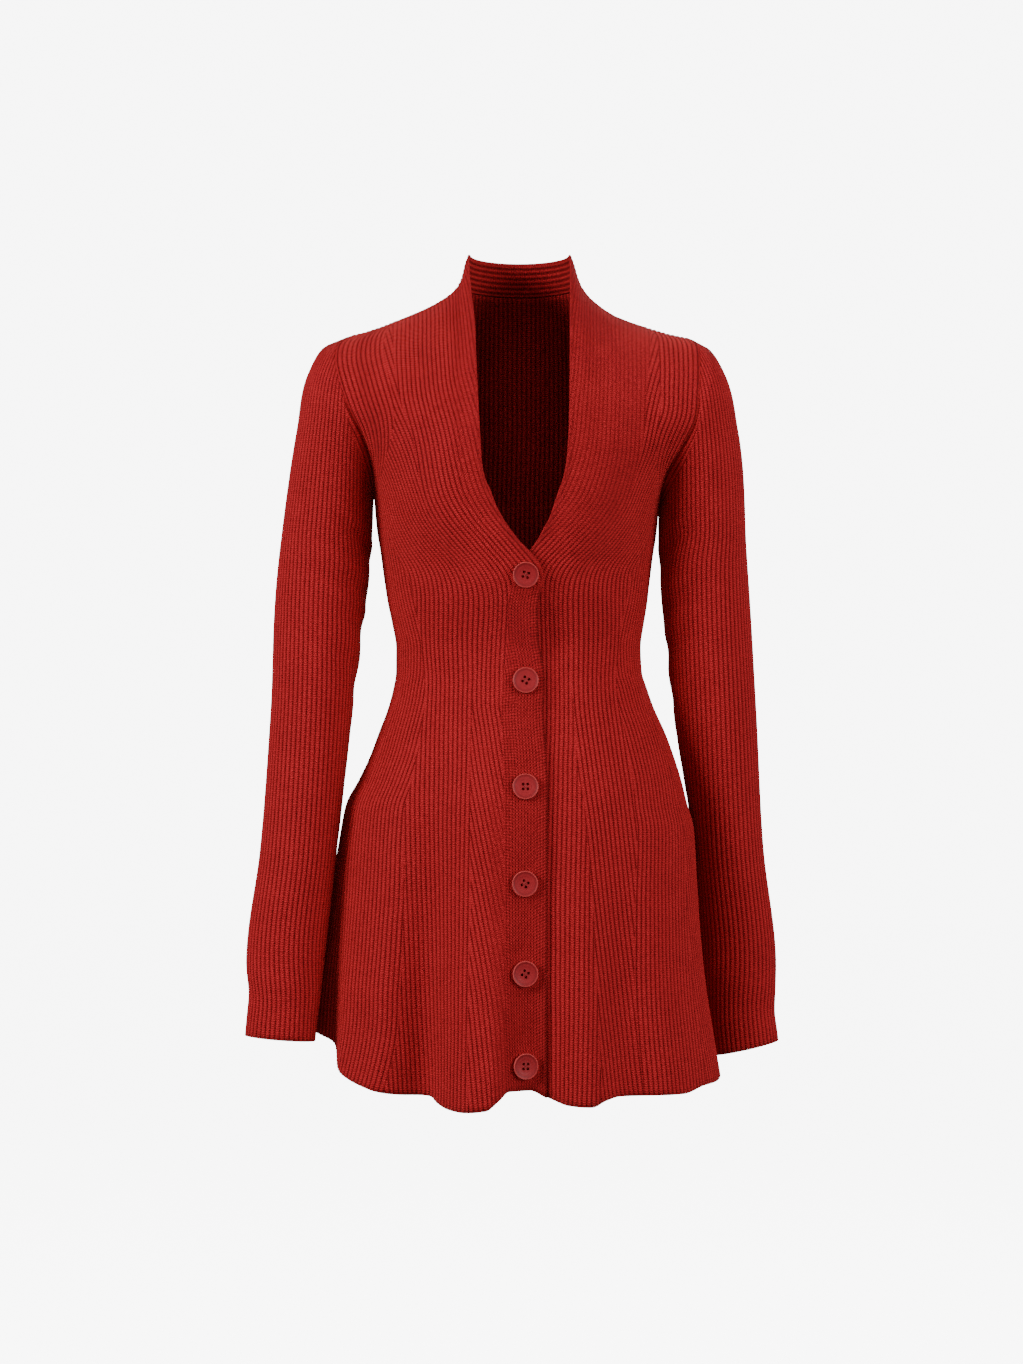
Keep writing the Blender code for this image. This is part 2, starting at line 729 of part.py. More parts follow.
def make_sleeve(name, side, table, front_wall, back_wall, look):
    """A sleeve, a tube from its armhole down to the cuff."""
    sign = -1.0 if side == "left" else 1.0
    front_low = len(FRONT_ROWS)
    back_low = len(BODY_ROWS)
    front_column = -1
    back_column = 0 if side == "left" else -1
    levels = (0.0,) + UPPER_LEVELS
    front_edge = []
    back_edge = []
    for index, level in enumerate(levels):
        point = front_wall.rows[front_low + index][front_column]
        front_edge.append(point + SEAM * seam_side(FRONT_ARMHOLE, side, level))
        point = back_wall.rows[back_low + index][back_column]
        back_edge.append(point + SEAM * seam_side(BACK_ARMHOLE, side, level))
    halves = [(np.array(front_edge), np.array(back_edge)[::-1])]
    for ring in table:
        outer = np.array([sign * ring.outer, ring.middle, ring.outer_z])
        inner = np.array([sign * ring.inner, ring.middle, ring.inner_z])
        centre = (outer + inner) / 2.0
        reach = (outer - inner) / 2.0
        angle = np.linspace(math.pi, 0.0, 91)[:, None]
        lean = sign * ring.lean
        to_front = np.array([lean, -ring.front, 0.0])
        to_back = np.array([lean, ring.back, 0.0])
        front = centre + reach * np.cos(angle) + to_front * np.sin(angle)
        back = centre + reach * np.cos(angle) + to_back * np.sin(angle)
        halves.append((front, back[::-1]))
    rows = []
    for front, back in halves:
        rows.append(np.vstack([resample(front, 81), resample(back, 81)[1:]]))
    wall = Wall(rows[::-1], turned=side == "left")
    top = len(wall.rows) - 1
    seam = np.vstack([halves[0][0], halves[0][1][1:]])
    corners = np.linspace(0.0, SAMPLES - 1.0, len(seam))
    for axis in range(3):
        wall.rows[top][:, axis] = np.interp(np.arange(SAMPLES), corners, seam[:, axis])
    wall.normals[top] = unit(wall.rows[top] - armhole_centre(side))
    for row in range(len(wall.rows)):
        both = unit(wall.normals[row][0] + wall.normals[row][-1])
        wall.normals[row][0] = both
        wall.normals[row][-1] = both
    wall.heights[top] = 0.0
    lines = [list(np.linspace(0.0, 1.0, SLEEVE_GORES + 1))] * len(wall.rows)
    pitches = [RIB_PITCH] * len(wall.rows)
    return panel(name, wall, lines, pitches, look, lambda row, share: np.zeros(3), tube=True)


def make_collar(look):
    """The stand round the back of the neck, its ribs level."""
    low = neck_arc(61.5, COLLAR_DEPTH_LOW, 44.0, COLLAR_DIP_LOW)
    top = neck_arc(50.5, COLLAR_DEPTH_TOP, 76.0, COLLAR_DIP_TOP)
    left = shoulder_line("left", 0, NECK_POINT + 1)[::-1]
    right = shoulder_line("right", 0, NECK_POINT + 1)[::-1]
    levels = np.linspace(0.0, 1.0, 2 * COLLAR_RIBS + 1)
    wall = Wall(patch(low, top, left, right, levels), turned=True)
    centre = np.array([0.0, SHOULDER_Y - 12.0, 0.0])
    flat = np.array([1.0, 1.0, 0.0])
    wall.normals[0] = unit((wall.rows[0] - centre) * flat)
    for end, side in ((0, "left"), (-1, "right")):
        aimed = seam_direction(wall.rows[:, end])
        aimed = np.where(aimed[:, :1] * wall.rows[:, end][:, :1] < 0.0, -aimed, aimed)
        wall.normals[:, end] = aimed
    mesh = bmesh.new()
    outer_rows = []
    inner_rows = []
    inner_levels = list(range(0, 2 * COLLAR_RIBS, 2 * RIM_RIBS)) + [2 * COLLAR_RIBS]
    for row in range(len(wall.rows)):
        line = []
        inner_line = []
        for step in range(COLLAR_COLUMNS + 1):
            share = step / COLLAR_COLUMNS
            move = np.zeros(3)
            if step in (0, COLLAR_COLUMNS):
                move[1] += SEAM
            if row == 0:
                move[2] += 2.0 * SEAM
            point = wall.place(row, share, float(row % 2), 0.0) + move
            line.append((step, mesh.verts.new(point * MM)))
            if row in inner_levels:
                point = wall.place(row, share, 0.0, WALL) + move
                inner_line.append((step, mesh.verts.new(point * MM)))
        outer_rows.append(line)
        if inner_line:
            inner_rows.append(inner_line)
    for below, above in zip(outer_rows[:-1], outer_rows[1:]):
        strip(mesh, below, above)
    for below, above in zip(inner_rows[:-1], inner_rows[1:]):
        strip(mesh, above, below)
    for end in (0, -1):
        strip(mesh, outer_rows[end], inner_rows[end])
        outer_side = [(row, line[end][1], row) for row, line in enumerate(outer_rows)]
        inner_side = [(row, line[end][1], row) for row, line in zip(inner_levels, inner_rows)]
        rim(mesh, outer_side, inner_side)
    return finish("collar", mesh, look)


def make_button_mesh(look):
    """A dished button with four square holes, its back on z = 0."""
    mesh = bmesh.new()
    half = BUTTON_THICKNESS / 2.0
    profile = (
        (BUTTON_RADIUS - 1.6, 0.0),
        (BUTTON_RADIUS, half),
        (BUTTON_RADIUS - 0.5, BUTTON_THICKNESS),
        (BUTTON_RADIUS - BUTTON_RIM, BUTTON_THICKNESS),
        (BUTTON_RADIUS - BUTTON_RIM - 1.5, BUTTON_THICKNESS - BUTTON_DISH),
    )
    rings = []
    for radius, height in profile:
        ring = []
        for side in range(BUTTON_SIDES):
            angle = 2.0 * math.pi * side / BUTTON_SIDES
            spot = Vector((radius * math.cos(angle), radius * math.sin(angle), height))
            ring.append(mesh.verts.new(spot * MM))
        rings.append(ring)
    for low, high in zip(rings[:-1], rings[1:]):
        for side in range(BUTTON_SIDES):
            after = (side + 1) % BUTTON_SIDES
            mesh.faces.new((low[side], low[after], high[after], high[side]))
    mesh.faces.new(tuple(reversed(rings[0])))
    mesh.faces.new(tuple(rings[-1]))
    bmesh.ops.recalc_face_normals(mesh, faces=mesh.faces)
    data = bpy.data.meshes.new("button")
    mesh.to_mesh(data)
    mesh.free()
    data.materials.append(look)
    return data


def make_hole_cutter():
    """Four square pins that cut the holes of a button."""
    mesh = bmesh.new()
    for across in (-1.0, 1.0):
        for up in (-1.0, 1.0):
            place = Matrix.Translation(
                Vector((across * HOLE_SPACING / 2.0, up * HOLE_SPACING / 2.0, 0.0)) * MM
            )
            size = Matrix.Diagonal((HOLE_WIDTH * MM, HOLE_WIDTH * MM, 20.0 * MM, 1.0))
            bmesh.ops.create_cube(mesh, size=1.0, matrix=place @ size)
    data = bpy.data.meshes.new("button_holes")
    mesh.to_mesh(data)
    mesh.free()
    return data


def seat_of(front, button):
    """Where a button's back rests on the front's placket, in metres, and the way it faces."""
    body = bmesh.new()
    body.from_mesh(front.data)
    tree = BVHTree.FromBMesh(body)
    body.free()
    spots = []
    for part in np.linspace(0.15, 1.0, 7):
        for angle in np.linspace(0.0, 2.0 * math.pi, 24, endpoint=False):
            x = button.x + part * BUTTON_RADIUS * math.cos(angle)
            z = button.z + part * BUTTON_RADIUS * math.sin(angle)
            hit = tree.ray_cast(Vector((x, -200.0, z)) * MM, Vector((0.0, 1.0, 0.0)))[0]
            if hit is not None:
                spots.append(hit)
    cloud = np.array(spots)
    middle = cloud.mean(axis=0)
    normal = np.linalg.svd(cloud - middle, full_matrices=False)[2][-1]
    if normal[1] > 0.0:
        normal = -normal
    rise = float(((cloud - middle) @ normal).max()) + BUTTON_CLEARANCE * MM
    slide = np.array([button.x * MM, middle[1], button.z * MM]) - middle
    slide -= normal * (slide @ normal)
    return Vector(middle + slide + normal * rise), Vector(normal)


def make_buttons(front, look):
    """The six buttons, each seated on the placket where it lies."""
    blank = make_button_mesh(look)
    pins = make_hole_cutter()
    for number, button in enumerate(BUTTONS, 1):
        seat, normal = seat_of(front, button)
        turn = normal.to_track_quat("Z", "Y").to_matrix().to_4x4()
        spin = Matrix.Rotation(math.radians(button.turn), 4, "Z")
        place = Matrix.Translation(seat) @ turn @ spin
        made = bpy.data.objects.new(f"button_{number}", blank)
        made.matrix_world = place
        bpy.context.scene.collection.objects.link(made)
        cutter = bpy.data.objects.new(f"button_{number}_pins", pins)
        cutter.matrix_world = place
        cutter.hide_render = True
        cutter.display_type = "WIRE"
        bpy.context.scene.collection.objects.link(cutter)
        holes = made.modifiers.new("holes", "BOOLEAN")
        holes.operation = "DIFFERENCE"
        holes.object = cutter


def main():
    for old in list(bpy.data.objects):
        bpy.data.objects.remove(old, do_unlink=True)
    knit = material("knit", (0.30, 0.008, 0.010), 0.9)
    plastic = material("button_plastic", (0.42, 0.035, 0.035), 0.4)
    front, over_wall = make_front("front_right", "left", knit)
    _, under_wall = make_front("front_left", "right", knit)
    _, back_wall = make_back(knit)
    make_collar(knit)
    make_sleeve("sleeve_right", "left", LEFT_SLEEVE, over_wall, back_wall, knit)
    make_sleeve("sleeve_left", "right", RIGHT_SLEEVE, under_wall, back_wall, knit)
    make_buttons(front, plastic)


main()
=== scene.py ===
"""Looks of a ribbed knit mini dress, as on a wearer, with a buttoned V front and long sleeves.

Sizes in the tables are in millimetres: +X is the wearer's left, front is towards -Y, +Z is up.
Rows of a panel run from its hem or cuff up. Columns run from the front edge round to the side.
"""

import logging
import math
from dataclasses import dataclass, field
from enum import Enum
from typing import Any, NamedTuple
import bmesh
import bpy
import numpy as np
from mathutils import Matrix, Vector


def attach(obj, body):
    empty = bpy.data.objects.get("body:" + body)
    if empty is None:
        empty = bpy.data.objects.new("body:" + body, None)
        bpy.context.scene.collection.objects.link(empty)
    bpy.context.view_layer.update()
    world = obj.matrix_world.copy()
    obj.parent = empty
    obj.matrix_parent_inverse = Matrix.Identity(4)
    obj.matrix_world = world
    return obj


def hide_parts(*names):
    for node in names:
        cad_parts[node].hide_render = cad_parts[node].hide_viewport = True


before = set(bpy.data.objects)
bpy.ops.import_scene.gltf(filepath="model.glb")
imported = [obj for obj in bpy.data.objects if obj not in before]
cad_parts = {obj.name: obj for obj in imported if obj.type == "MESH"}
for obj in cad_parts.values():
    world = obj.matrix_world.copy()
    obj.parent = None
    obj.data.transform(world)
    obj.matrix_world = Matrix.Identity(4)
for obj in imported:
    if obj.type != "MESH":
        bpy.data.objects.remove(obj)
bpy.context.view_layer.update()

log = logging.getLogger("dress")

MM = 0.001
RIB_PITCH = 4.8
COURSE = 2.3
GRID_PITCH = 3.0
RIB_POWER = 0.62
# Height of the cloth, as a share of a rib, where the ribs cross the panel's columns too fast
# to be raised one by one. A bump in the material draws them there.
SMOOTHED = 0.62
# How far a side seam sinks, and how far the cloth wanders in and out.
SEAM_SINK = 0.7
UNEVEN = 0.35
Array = np.ndarray


class Side(Enum):
    """The wearer's side. The value is the direction along X."""

    RIGHT = -1
    LEFT = 1

    @property
    def word(self) -> str:
        """The side in the pieces' names."""
        return self.name.lower()


class Section(NamedTuple):
    """A level cut of the body: half widths to each side, depths to front and back."""

    z: float
    right: float
    left: float
    front: float
    back: float


class Hem(NamedTuple):
    """Hem height at a turn round the body: 0 is the front, 90 the wearer's left."""

    turn: float
    z: float


class Trough(NamedTuple):
    """A trough between two folds of the skirt, as deep as given at the hem.

    skew makes the side with the smaller turn narrower and steeper, as a share.
    """

    turn: float
    half_width: float
    depth: float
    top: float
    skew: float = 0.0


class Edge(NamedTuple):
    """A front edge below the arms."""

    z: float
    x: float


class NeckEdge(NamedTuple):
    """A front edge above that, up to the peak beside the neck."""

    x: float
    y: float
    z: float


class Outline(NamedTuple):
    """A point of a shoulder line: distance from the middle and height."""

    x: float
    z: float


class Armhole(NamedTuple):
    """A point of an armhole edge on both sides of the dress."""

    right: float
    right_z: float
    left: float
    left_z: float
    y: float


class RibMap(NamedTuple):
    """Where a front's ribs run at a height key.

    border is where the neckline's ribs meet the body's, first and second are lines
    that the ribs on each side of it follow, each with the spacing of its ribs.
    third is the line that the outer ribs follow and join and outer_join are where
    ribs are added on either side of it, all three measured from the side seam.
    """

    key: float
    border: float
    first: float
    first_pitch: float
    second: float
    second_pitch: float
    join: float
    third: float
    outer_join: float


class Ring(NamedTuple):
    """A ring of a sleeve: outer and inner points, depths to front and back, and lean."""

    outer: float
    outer_z: float
    inner: float
    inner_z: float
    middle: float
    front: float
    back: float
    lean: float


class Bulge(NamedTuple):
    """A soft round rise of a front: its middle, its size both ways and its height."""

    across: float
    z: float
    width: float
    height: float
    rise: float


class Lamp(NamedTuple):
    """A soft square lamp: where it stands, its side in metres and its watts."""

    name: str
    place: tuple
    size: float
    power: float


class Crease(NamedTuple):
    """A soft crease of a sleeve: place along it and round it, size, slope and depth."""

    z: float
    turn: float
    height: float
    width: float
    slope: float
    depth: float


def table(kind: type, *rows: tuple) -> tuple:
    """Rows of numbers as rows of one kind, every number a float."""
    return tuple(kind(*map(float, row)) for row in rows)


SECTIONS = table(
    Section,
    (-780, 214, 206, 131, 124),
    (-737, 209, 199.5, 129, 122),
    (-700, 205, 193, 127, 120),
    (-660, 202, 186.5, 124.5, 118),
    (-618, 196, 181.9, 121.5, 116),
    (-560, 187, 177.4, 117, 113.5),
    (-498, 177.5, 173, 113.5, 111),
    (-474, 172.5, 166.5, 111.5, 109),
    (-450, 160, 161, 107.5, 104),
    (-426, 148.5, 153.5, 102.5, 98.5),
    (-402, 139.5, 144.5, 97.5, 92.5),
    (-378, 130.5, 133.5, 93.5, 87.5),
    (-360, 125.5, 127, 91, 84.5),
    (-342, 122.5, 121.5, 88, 81),
    (-318, 122.5, 120.5, 86.5, 78.5),
    (-294, 126.5, 123.5, 90, 79.5),
    (-270, 131.5, 127.5, 96.5, 82),
    (-246, 135.5, 130.5, 102, 84.5),
    (-222, 138.5, 133.5, 106, 87),
    (-198, 142, 136.5, 109, 89.5),
    (-165, 144.5, 138.5, 111, 91),
)

HEM = table(
    Hem,
    (-90, -695), (-78, -702), (-69, -710), (-61, -731), (-48, -747), (-35, -756), (-27, -757),
    (-24, -763), (-20, -768), (-15, -770), (-9, -768), (-5.5, -758), (-3, -750), (3, -750),
    (8, -757), (14, -764), (20, -765), (25, -759), (30, -756), (40, -756), (52, -756),
    (64, -750), (76, -748), (88, -743), (112, -738), (138, -747), (160, -740), (180, -747),
    (202, -740), (226, -740), (240, -719), (250, -710), (262, -698), (270, -695),
)

TROUGHS = table(
    Trough,
    (-69, 13, 15, -520), (-30, 16, 31, -330, 0.15), (4, 15, 27, -480, 0.15), (33, 15, 12, -430),
    (99, 15, 12, -460), (129, 17, 14, -430), (161, 17, 16, -450), (197, 16, 15, -430),
    (229, 17, 14, -460), (257, 12, 9, -500),
)

OVER_EDGE = table(
    Edge,
    (-780, 26.5), (-730, 26.5), (-520, 27.3), (-453, 27.3), (-428, 26.5), (-381, 23.6),
    (-351, 24.6), (-331, 22.3), (-309, 18.3), (-281, 17.5), (-262, 20.5), (-247, 23.2),
    (-238, 20.5), (-225.6, 11), (-213.9, -0.7), (-202.2, -9.5), (-190.6, -17.2),
    (-178.9, -23.1), (-165, -28.3),
)

UNDER_EDGE = table(
    Edge,
    (-780, -20), (-318, -20), (-280, -20), (-255, -19), (-244, -14), (-235, -2), (-225.6, 8),
    (-213.9, 17.8), (-202.2, 23.6), (-190.6, 29.4), (-178.9, 33.3), (-165, 37.8),
)

OVER_NECK = table(
    NeckEdge,
    (-32.8, -108.5, -155.4), (-35.7, -107.5, -143.7), (-38, -105, -115), (-40.5, -95, -70),
    (-42.5, -80, -30), (-44, -59, 5), (-47.5, -34, 35), (-49.5, -11, 60), (-50.5, 5, 76),
)

UNDER_NECK = table(
    NeckEdge,
    (41.2, -108.5, -155.4), (44.1, -107.5, -143.7), (47, -105, -115), (48.5, -95, -70),
    (49, -80, -30), (49.5, -59, 5), (50, -34, 35), (50.5, -11, 60), (50.5, 5, 76),
)

SHOULDER_Y = 5.0
NECK_POINT = 3
RIGHT_SHOULDER = table(
    Outline,
    (50.5, 76), (53.5, 68), (58.5, 50), (61.5, 44), (66.5, 38), (74.5, 32), (84.5, 26),
    (96.5, 20), (110.5, 14), (125.5, 8), (139.5, 2.5), (155, -2.5), (170.5, -6),
)
LEFT_SHOULDER = table(
    Outline,
    (50.5, 76), (53.5, 68), (59, 50), (61.5, 44), (65.5, 38), (70.5, 32), (77.5, 26),
    (85.5, 20), (95.5, 14), (110.5, 8), (128.5, 2), (148.5, -4), (172.5, -9),
)

FRONT_ARMHOLE = table(
    Armhole,
    (144.5, -165, 138.5, -165, 0), (144.7, -148, 141, -155, -25), (148, -129, 149, -139, -44),
    (156, -106, 160, -120, -57), (167, -84, 173, -96, -64), (176, -60, 177, -66, -60),
    (182.5, -34, 178.5, -35, -42), (181, -17, 178, -18, -22), (170.5, -6, 172.5, -9, 5),
)
BACK_ARMHOLE = table(
    Armhole,
    (144.5, -165, 138.5, -165, 0), (145, -147, 140.5, -150, 27), (149, -122, 147, -125, 50),
    (157, -92, 157, -94, 62), (165, -60, 165, -62, 62), (171, -32, 171, -34, 46),
    (173, -14, 174, -16, 26), (170.5, -6, 172.5, -9, 5),
)
CENTRE_BACK = table(
    NeckEdge,
    (0, 97, -115), (0, 98, -60), (0, 91, -10), (0, 78, 22),
)

# The height key is z below the arms, and rises from -165 to 75 over the panel above them.
OVER_RIBS = table(
    RibMap,
    (-780, 50, -34, 4.8, 42, 4.8, 150, 118, 59),
    (-660, 49, -19, 4.8, 40, 4.8, 138, 104, 52),
    (-560, 47, 0, 4.7, 38.5, 4.8, 124, 92, 46),
    (-470, 48, 19, 4.6, 37, 4.8, 108, 80, 41),
    (-430, 48, 26.5, 4.5, 36, 4.8, 95, 72, 37),
    (-400, 47, 31, 4.5, 35.5, 4.8, 85, 66, 34),
    (-371, 46, 35, 4.4, 35, 4.8, 76, 61, 31),
    (-346, 41, 35, 4.4, 34, 4.9, 66, 57.6, 30),
    (-318, 34, 34, 4.4, 34, 5.1, 62, 57.6, 30),
    (-274, 32, 32, 4.5, 32, 5.3, 66, 57.6, 30),
    (-258, 34.5, 34.5, 4.9, 34.5, 5.3, 66, 57.6, 30),
    (-244, 42, 42, 5.3, 42, 5.1, 60, 57.6, 30),
    (-217, 65, 65, 5.6, 65, 4.7, 50, 57.6, 28),
    (-190, 83.5, 83.5, 5.3, 83.5, 4.3, 36, 57.6, 24),
    (-165, 93, 93, 4.9, 93, 4.1, 29, 57.6, 18),
    (-105, 104, 104, 4.5, 110, 4.5, 38, 57.6, 14),
    (-45, 119, 116, 4.4, 130, 4.5, 48, 57.6, 12),
    (15, 125, 119, 4.4, 144, 4.5, 50, 57.6, 12),
    (75, 127, 119, 4.4, 152, 4.5, 50, 57.6, 10),
)
UNDER_RIBS = table(
    RibMap,
    (-780, 80, 40, 4.8, 96, 4.8, 140, 118, 59),
    (-660, 75, 41, 4.8, 82, 4.8, 128, 104, 52),
    (-560, 70, 42, 4.8, 70, 4.8, 116, 92, 46),
    (-490, 64, 44, 4.7, 62, 4.8, 106, 83, 42),
    (-430, 56, 45, 4.6, 54, 4.8, 92, 72, 37),
    (-400, 54, 46, 4.5, 50, 4.8, 83, 66, 34),
    (-371, 52, 46, 4.4, 47, 4.8, 74, 61, 31),
    (-346, 49, 46, 4.4, 46, 4.9, 64, 57.6, 30),
    (-318, 46, 46, 4.4, 46, 5.1, 58, 57.6, 30),
    (-274, 45, 45, 4.5, 45, 5.3, 60, 57.6, 30),
    (-258, 46.5, 46.5, 4.9, 46.5, 5.3, 60, 57.6, 30),
    (-244, 52, 52, 5.3, 52, 5.1, 54, 57.6, 30),
    (-217, 76, 76, 5.6, 76, 4.7, 42, 57.6, 26),
    (-190, 95, 95, 5.3, 95, 4.3, 30, 57.6, 20),
    (-165, 106, 106, 4.9, 106, 4.1, 23, 57.6, 14),
    (-105, 119, 118, 4.5, 123, 4.5, 31, 57.6, 12),
    (-45, 124, 121, 4.4, 134, 4.5, 40, 57.6, 12),
    (15, 129, 122, 4.4, 147, 4.5, 42, 57.6, 12),
    (75, 131, 122, 4.4, 156, 4.5, 42, 57.6, 10),
)
PLACKET_LINE = table(
    Edge,
    (-780, 14.5), (-500, 15), (-420, 16.5), (-375, 17.5), (-345, 14.5), (-300, 11), (-262, 10),
)

RIGHT_SLEEVE = table(
    Ring,
    (196.5, -20.5, 146, -170, 0, 65, 66, 8),
    (210.5, -46, 146.5, -177, 0, 61, 62, 6),
    (221.5, -100, 147.3, -192, 0, 56, 57, 3),
    (239, -222, 149.5, -232, -2, 47, 49, 0),
    (247.5, -385, 167.3, -385, -14, 40, 41, 0),
    (257, -520, 182, -520, -30, 36, 36, 0),
    (269.5, -625, 193.5, -625, -41, 32, 32, 0),
    (268, -662, 197.5, -662, -45, 30.5, 30.5, 0),
    (270.5, -701, 202.5, -706.5, -48, 29, 29, 0),
)
LEFT_SLEEVE = table(
    Ring,
    (188.8, -22, 139.3, -171, 0, 65, 66, 14),
    (203.5, -46, 139.3, -178, 0, 61, 62, 10),
    (217.3, -102, 139.3, -192, 0, 56, 57, 5),
    (226.5, -222, 140.5, -236, 2, 47, 49, 0),
    (237, -385, 155.5, -385, 12, 40, 41, 0),
    (245, -520, 176.5, -520, 27, 36, 36, 0),
    (258.5, -636, 184.5, -636, 40, 32, 32, 0),
    (257.5, -676, 189, -678, 42, 30.5, 30.5, 0),
    (261, -714, 195, -729, 44, 29, 29, 0),
)
RIGHT_CREASES = table(
    Crease,
    (-262, 40, 11, 55, 0.35, 1.7),
    (-296, 20, 9, 48, 0.25, 1.4),
    (-332, 50, 12, 60, 0.45, 1.5),
    (-205, 30, 12, 50, 0.60, 1.8),
    (-300, 330, 12, 50, -0.35, 1.5),
    (-345, 320, 13, 60, -0.30, 1.3),
    (-668, 120, 14, 80, 0.15, 1.6),
)
LEFT_CREASES = table(
    Crease,
    (-275, 45, 12, 55, 0.40, 1.6),
    (-318, 25, 10, 50, 0.30, 1.3),
    (-210, 35, 13, 55, 0.55, 1.7),
    (-310, 325, 12, 55, -0.30, 1.5),
    (-360, 335, 12, 60, -0.35, 1.2),
    (-680, 110, 14, 80, -0.15, 1.5),
)

# How far each button is turned on its thread, in degrees, from the top one down.
BUTTON_TURNS = (-15.0, -29.0, 1.0, -28.0, -33.0, -2.0)


CHEST = table(Bulge, (74, -172, 40, 42, 4.5), (76, -240, 42, 26, -4.5))

LAMPS = (
    Lamp("key", (-3.1, -1.9, 0.9), 1.4, 166.0),
    Lamp("fill", (3.0, -2.1, 0.6), 1.6, 119.0),
    Lamp("front", (0.2, -4.4, -0.1), 1.2, 13.0),
    Lamp("top", (-0.2, -2.2, 2.6), 1.6, 16.0),
    Lamp("back", (0.6, 2.6, 1.2), 1.8, 45.0),
)


def ease(value: Array) -> Array:
    """0 to 1 with level ends.

    Args:
        value: any numbers; below 0 gives 0 and above 1 gives 1.

    Returns:
        The eased numbers.
    """
    kept = np.clip(value, 0.0, 1.0)
    return kept * kept * (3.0 - 2.0 * kept)


def curve(t: Array, step: Array, start: Array, end: Array, leave: Array, arrive: Array) -> Array:
    """A curve between two values, with its slope given at both.

    Args:
        t: how far along it, from 0 to 1.
        step: its length.
        start: value at its start.
        end: value at its end.
        leave: slope at its start.
        arrive: slope at its end.

    Returns:
        The values.
    """
    low = (1.0 + 2.0 * t) * (1.0 - t) ** 2 * start + t * (1.0 - t) ** 2 * step * leave
    high = t * t * (3.0 - 2.0 * t) * end + t * t * (t - 1.0) * step * arrive
    return low + high


def read(table: tuple, key: str, column: str, at: Array | float) -> Array:
    """A table's column read at values of its key column, on a curve that doesn't overshoot.

    Args:
        table: rows with named columns.
        key: name of the key column.
        column: name of the column to read.
        at: where to read.

    Returns:
        The values there.
    """
    x = np.array([getattr(row, key) for row in table], float)
    y = np.array([getattr(row, column) for row in table], float)
    order = np.argsort(x)
    x, y = x[order], y[order]
    step = np.diff(x)
    rise = np.diff(y) / step
    slope = np.zeros(len(x))
    both = rise[:-1] * rise[1:]
    total = rise[:-1] + rise[1:]
    slope[1:-1] = np.where(both > 0.0, 2.0 * both / np.where(total == 0.0, 1.0, total), 0.0)
    slope[0], slope[-1] = rise[0], rise[-1]
    at = np.asarray(at, float)
    i = np.clip(np.searchsorted(x, at) - 1, 0, len(x) - 2)
    t = np.clip((at - x[i]) / step[i], 0.0, 1.0)
    return curve(t, step[i], y[i], y[i + 1], slope[i], slope[i + 1])


def rib_lines(ribs: tuple, keys: Array) -> RibMap:
    """A rib map read at the height keys of a panel's rows."""
    return RibMap(keys, *(read(ribs, "key", name, keys) for name in RibMap._fields[1:]))


def unit(vectors: Array) -> Array:
    """The vectors at length 1."""
    return vectors / np.maximum(np.linalg.norm(vectors, axis=-1, keepdims=True), 1e-9)


def run_of(points: Array) -> Array:
    """Distance along a line of points, from 0."""
    steps = np.linalg.norm(np.diff(points, axis=0), axis=1)
    return np.concatenate([[0.0], np.cumsum(steps)])


def along(points: Array, run: Array, at: Array | float) -> Array:
    """Points of a line at given distances, where run is the distance of each of its points."""
    return np.stack([np.interp(at, run, points[:, axis]) for axis in range(3)], axis=-1)


def even(points: Array, count: int) -> Array:
    """A line with its points evenly spaced.

    Args:
        points: the line, n x 3.
        count: how many points are wanted.

    Returns:
        count x 3 points.
    """
    run = run_of(points)
    return along(points, run, np.linspace(0.0, run[-1], count))


def loft(lines: Array, stations: Array, at: Array) -> Array:
    """Lines between given lines, smooth from one to the next.

    Args:
        lines: k x n x 3 points.
        stations: place of each line, rising.
        at: places wanted.

    Returns:
        len(at) x n x 3 points.
    """
    slope = np.gradient(lines, stations, axis=0)
    i = np.clip(np.searchsorted(stations, at) - 1, 0, len(stations) - 2)
    step = (stations[i + 1] - stations[i])[:, None, None]
    t = ((at - stations[i]) / (stations[i + 1] - stations[i]))[:, None, None]
    return curve(t, step, lines[i], lines[i + 1], slope[i], slope[i + 1])


def flowing(points: Array, count: int) -> Array:
    """A smooth line through a few points, evenly spaced.

    Args:
        points: the points that it goes through.
        count: how many points are wanted.

    Returns:
        count x 3 points.
    """
    run = run_of(points)
    dense = loft(points[:, None, :], run, np.linspace(0.0, run[-1], 40 * len(points)))
    return even(dense[:, 0, :], count)


def between(low: Array, high: Array, start: Array, end: Array, levels: Array) -> Array:
    """Rows of the surface that spans four edges.

    Args:
        low: bottom edge, n x 3.
        high: top edge, n x 3.
        start: edge at the first column, running up.
        end: edge at the last column, running up.
        levels: heights wanted, 0 at the bottom to 1 at the top.

    Returns:
        len(levels) x n x 3 points.
    """
    across = np.linspace(0.0, 1.0, len(low))[None, :, None]
    up = levels[:, None, None]
    share = np.linspace(0.0, 1.0, len(start))
    left, right = along(start, share, levels), along(end, share, levels)
    ruled = (1.0 - up) * low + up * high
    sides = (1.0 - across) * left[:, None, :] + across * right[:, None, :]
    corners = (1.0 - up) * ((1.0 - across) * low[0] + across * low[-1])
    corners = corners + up * ((1.0 - across) * high[0] + across * high[-1])
    return ruled + sides - corners


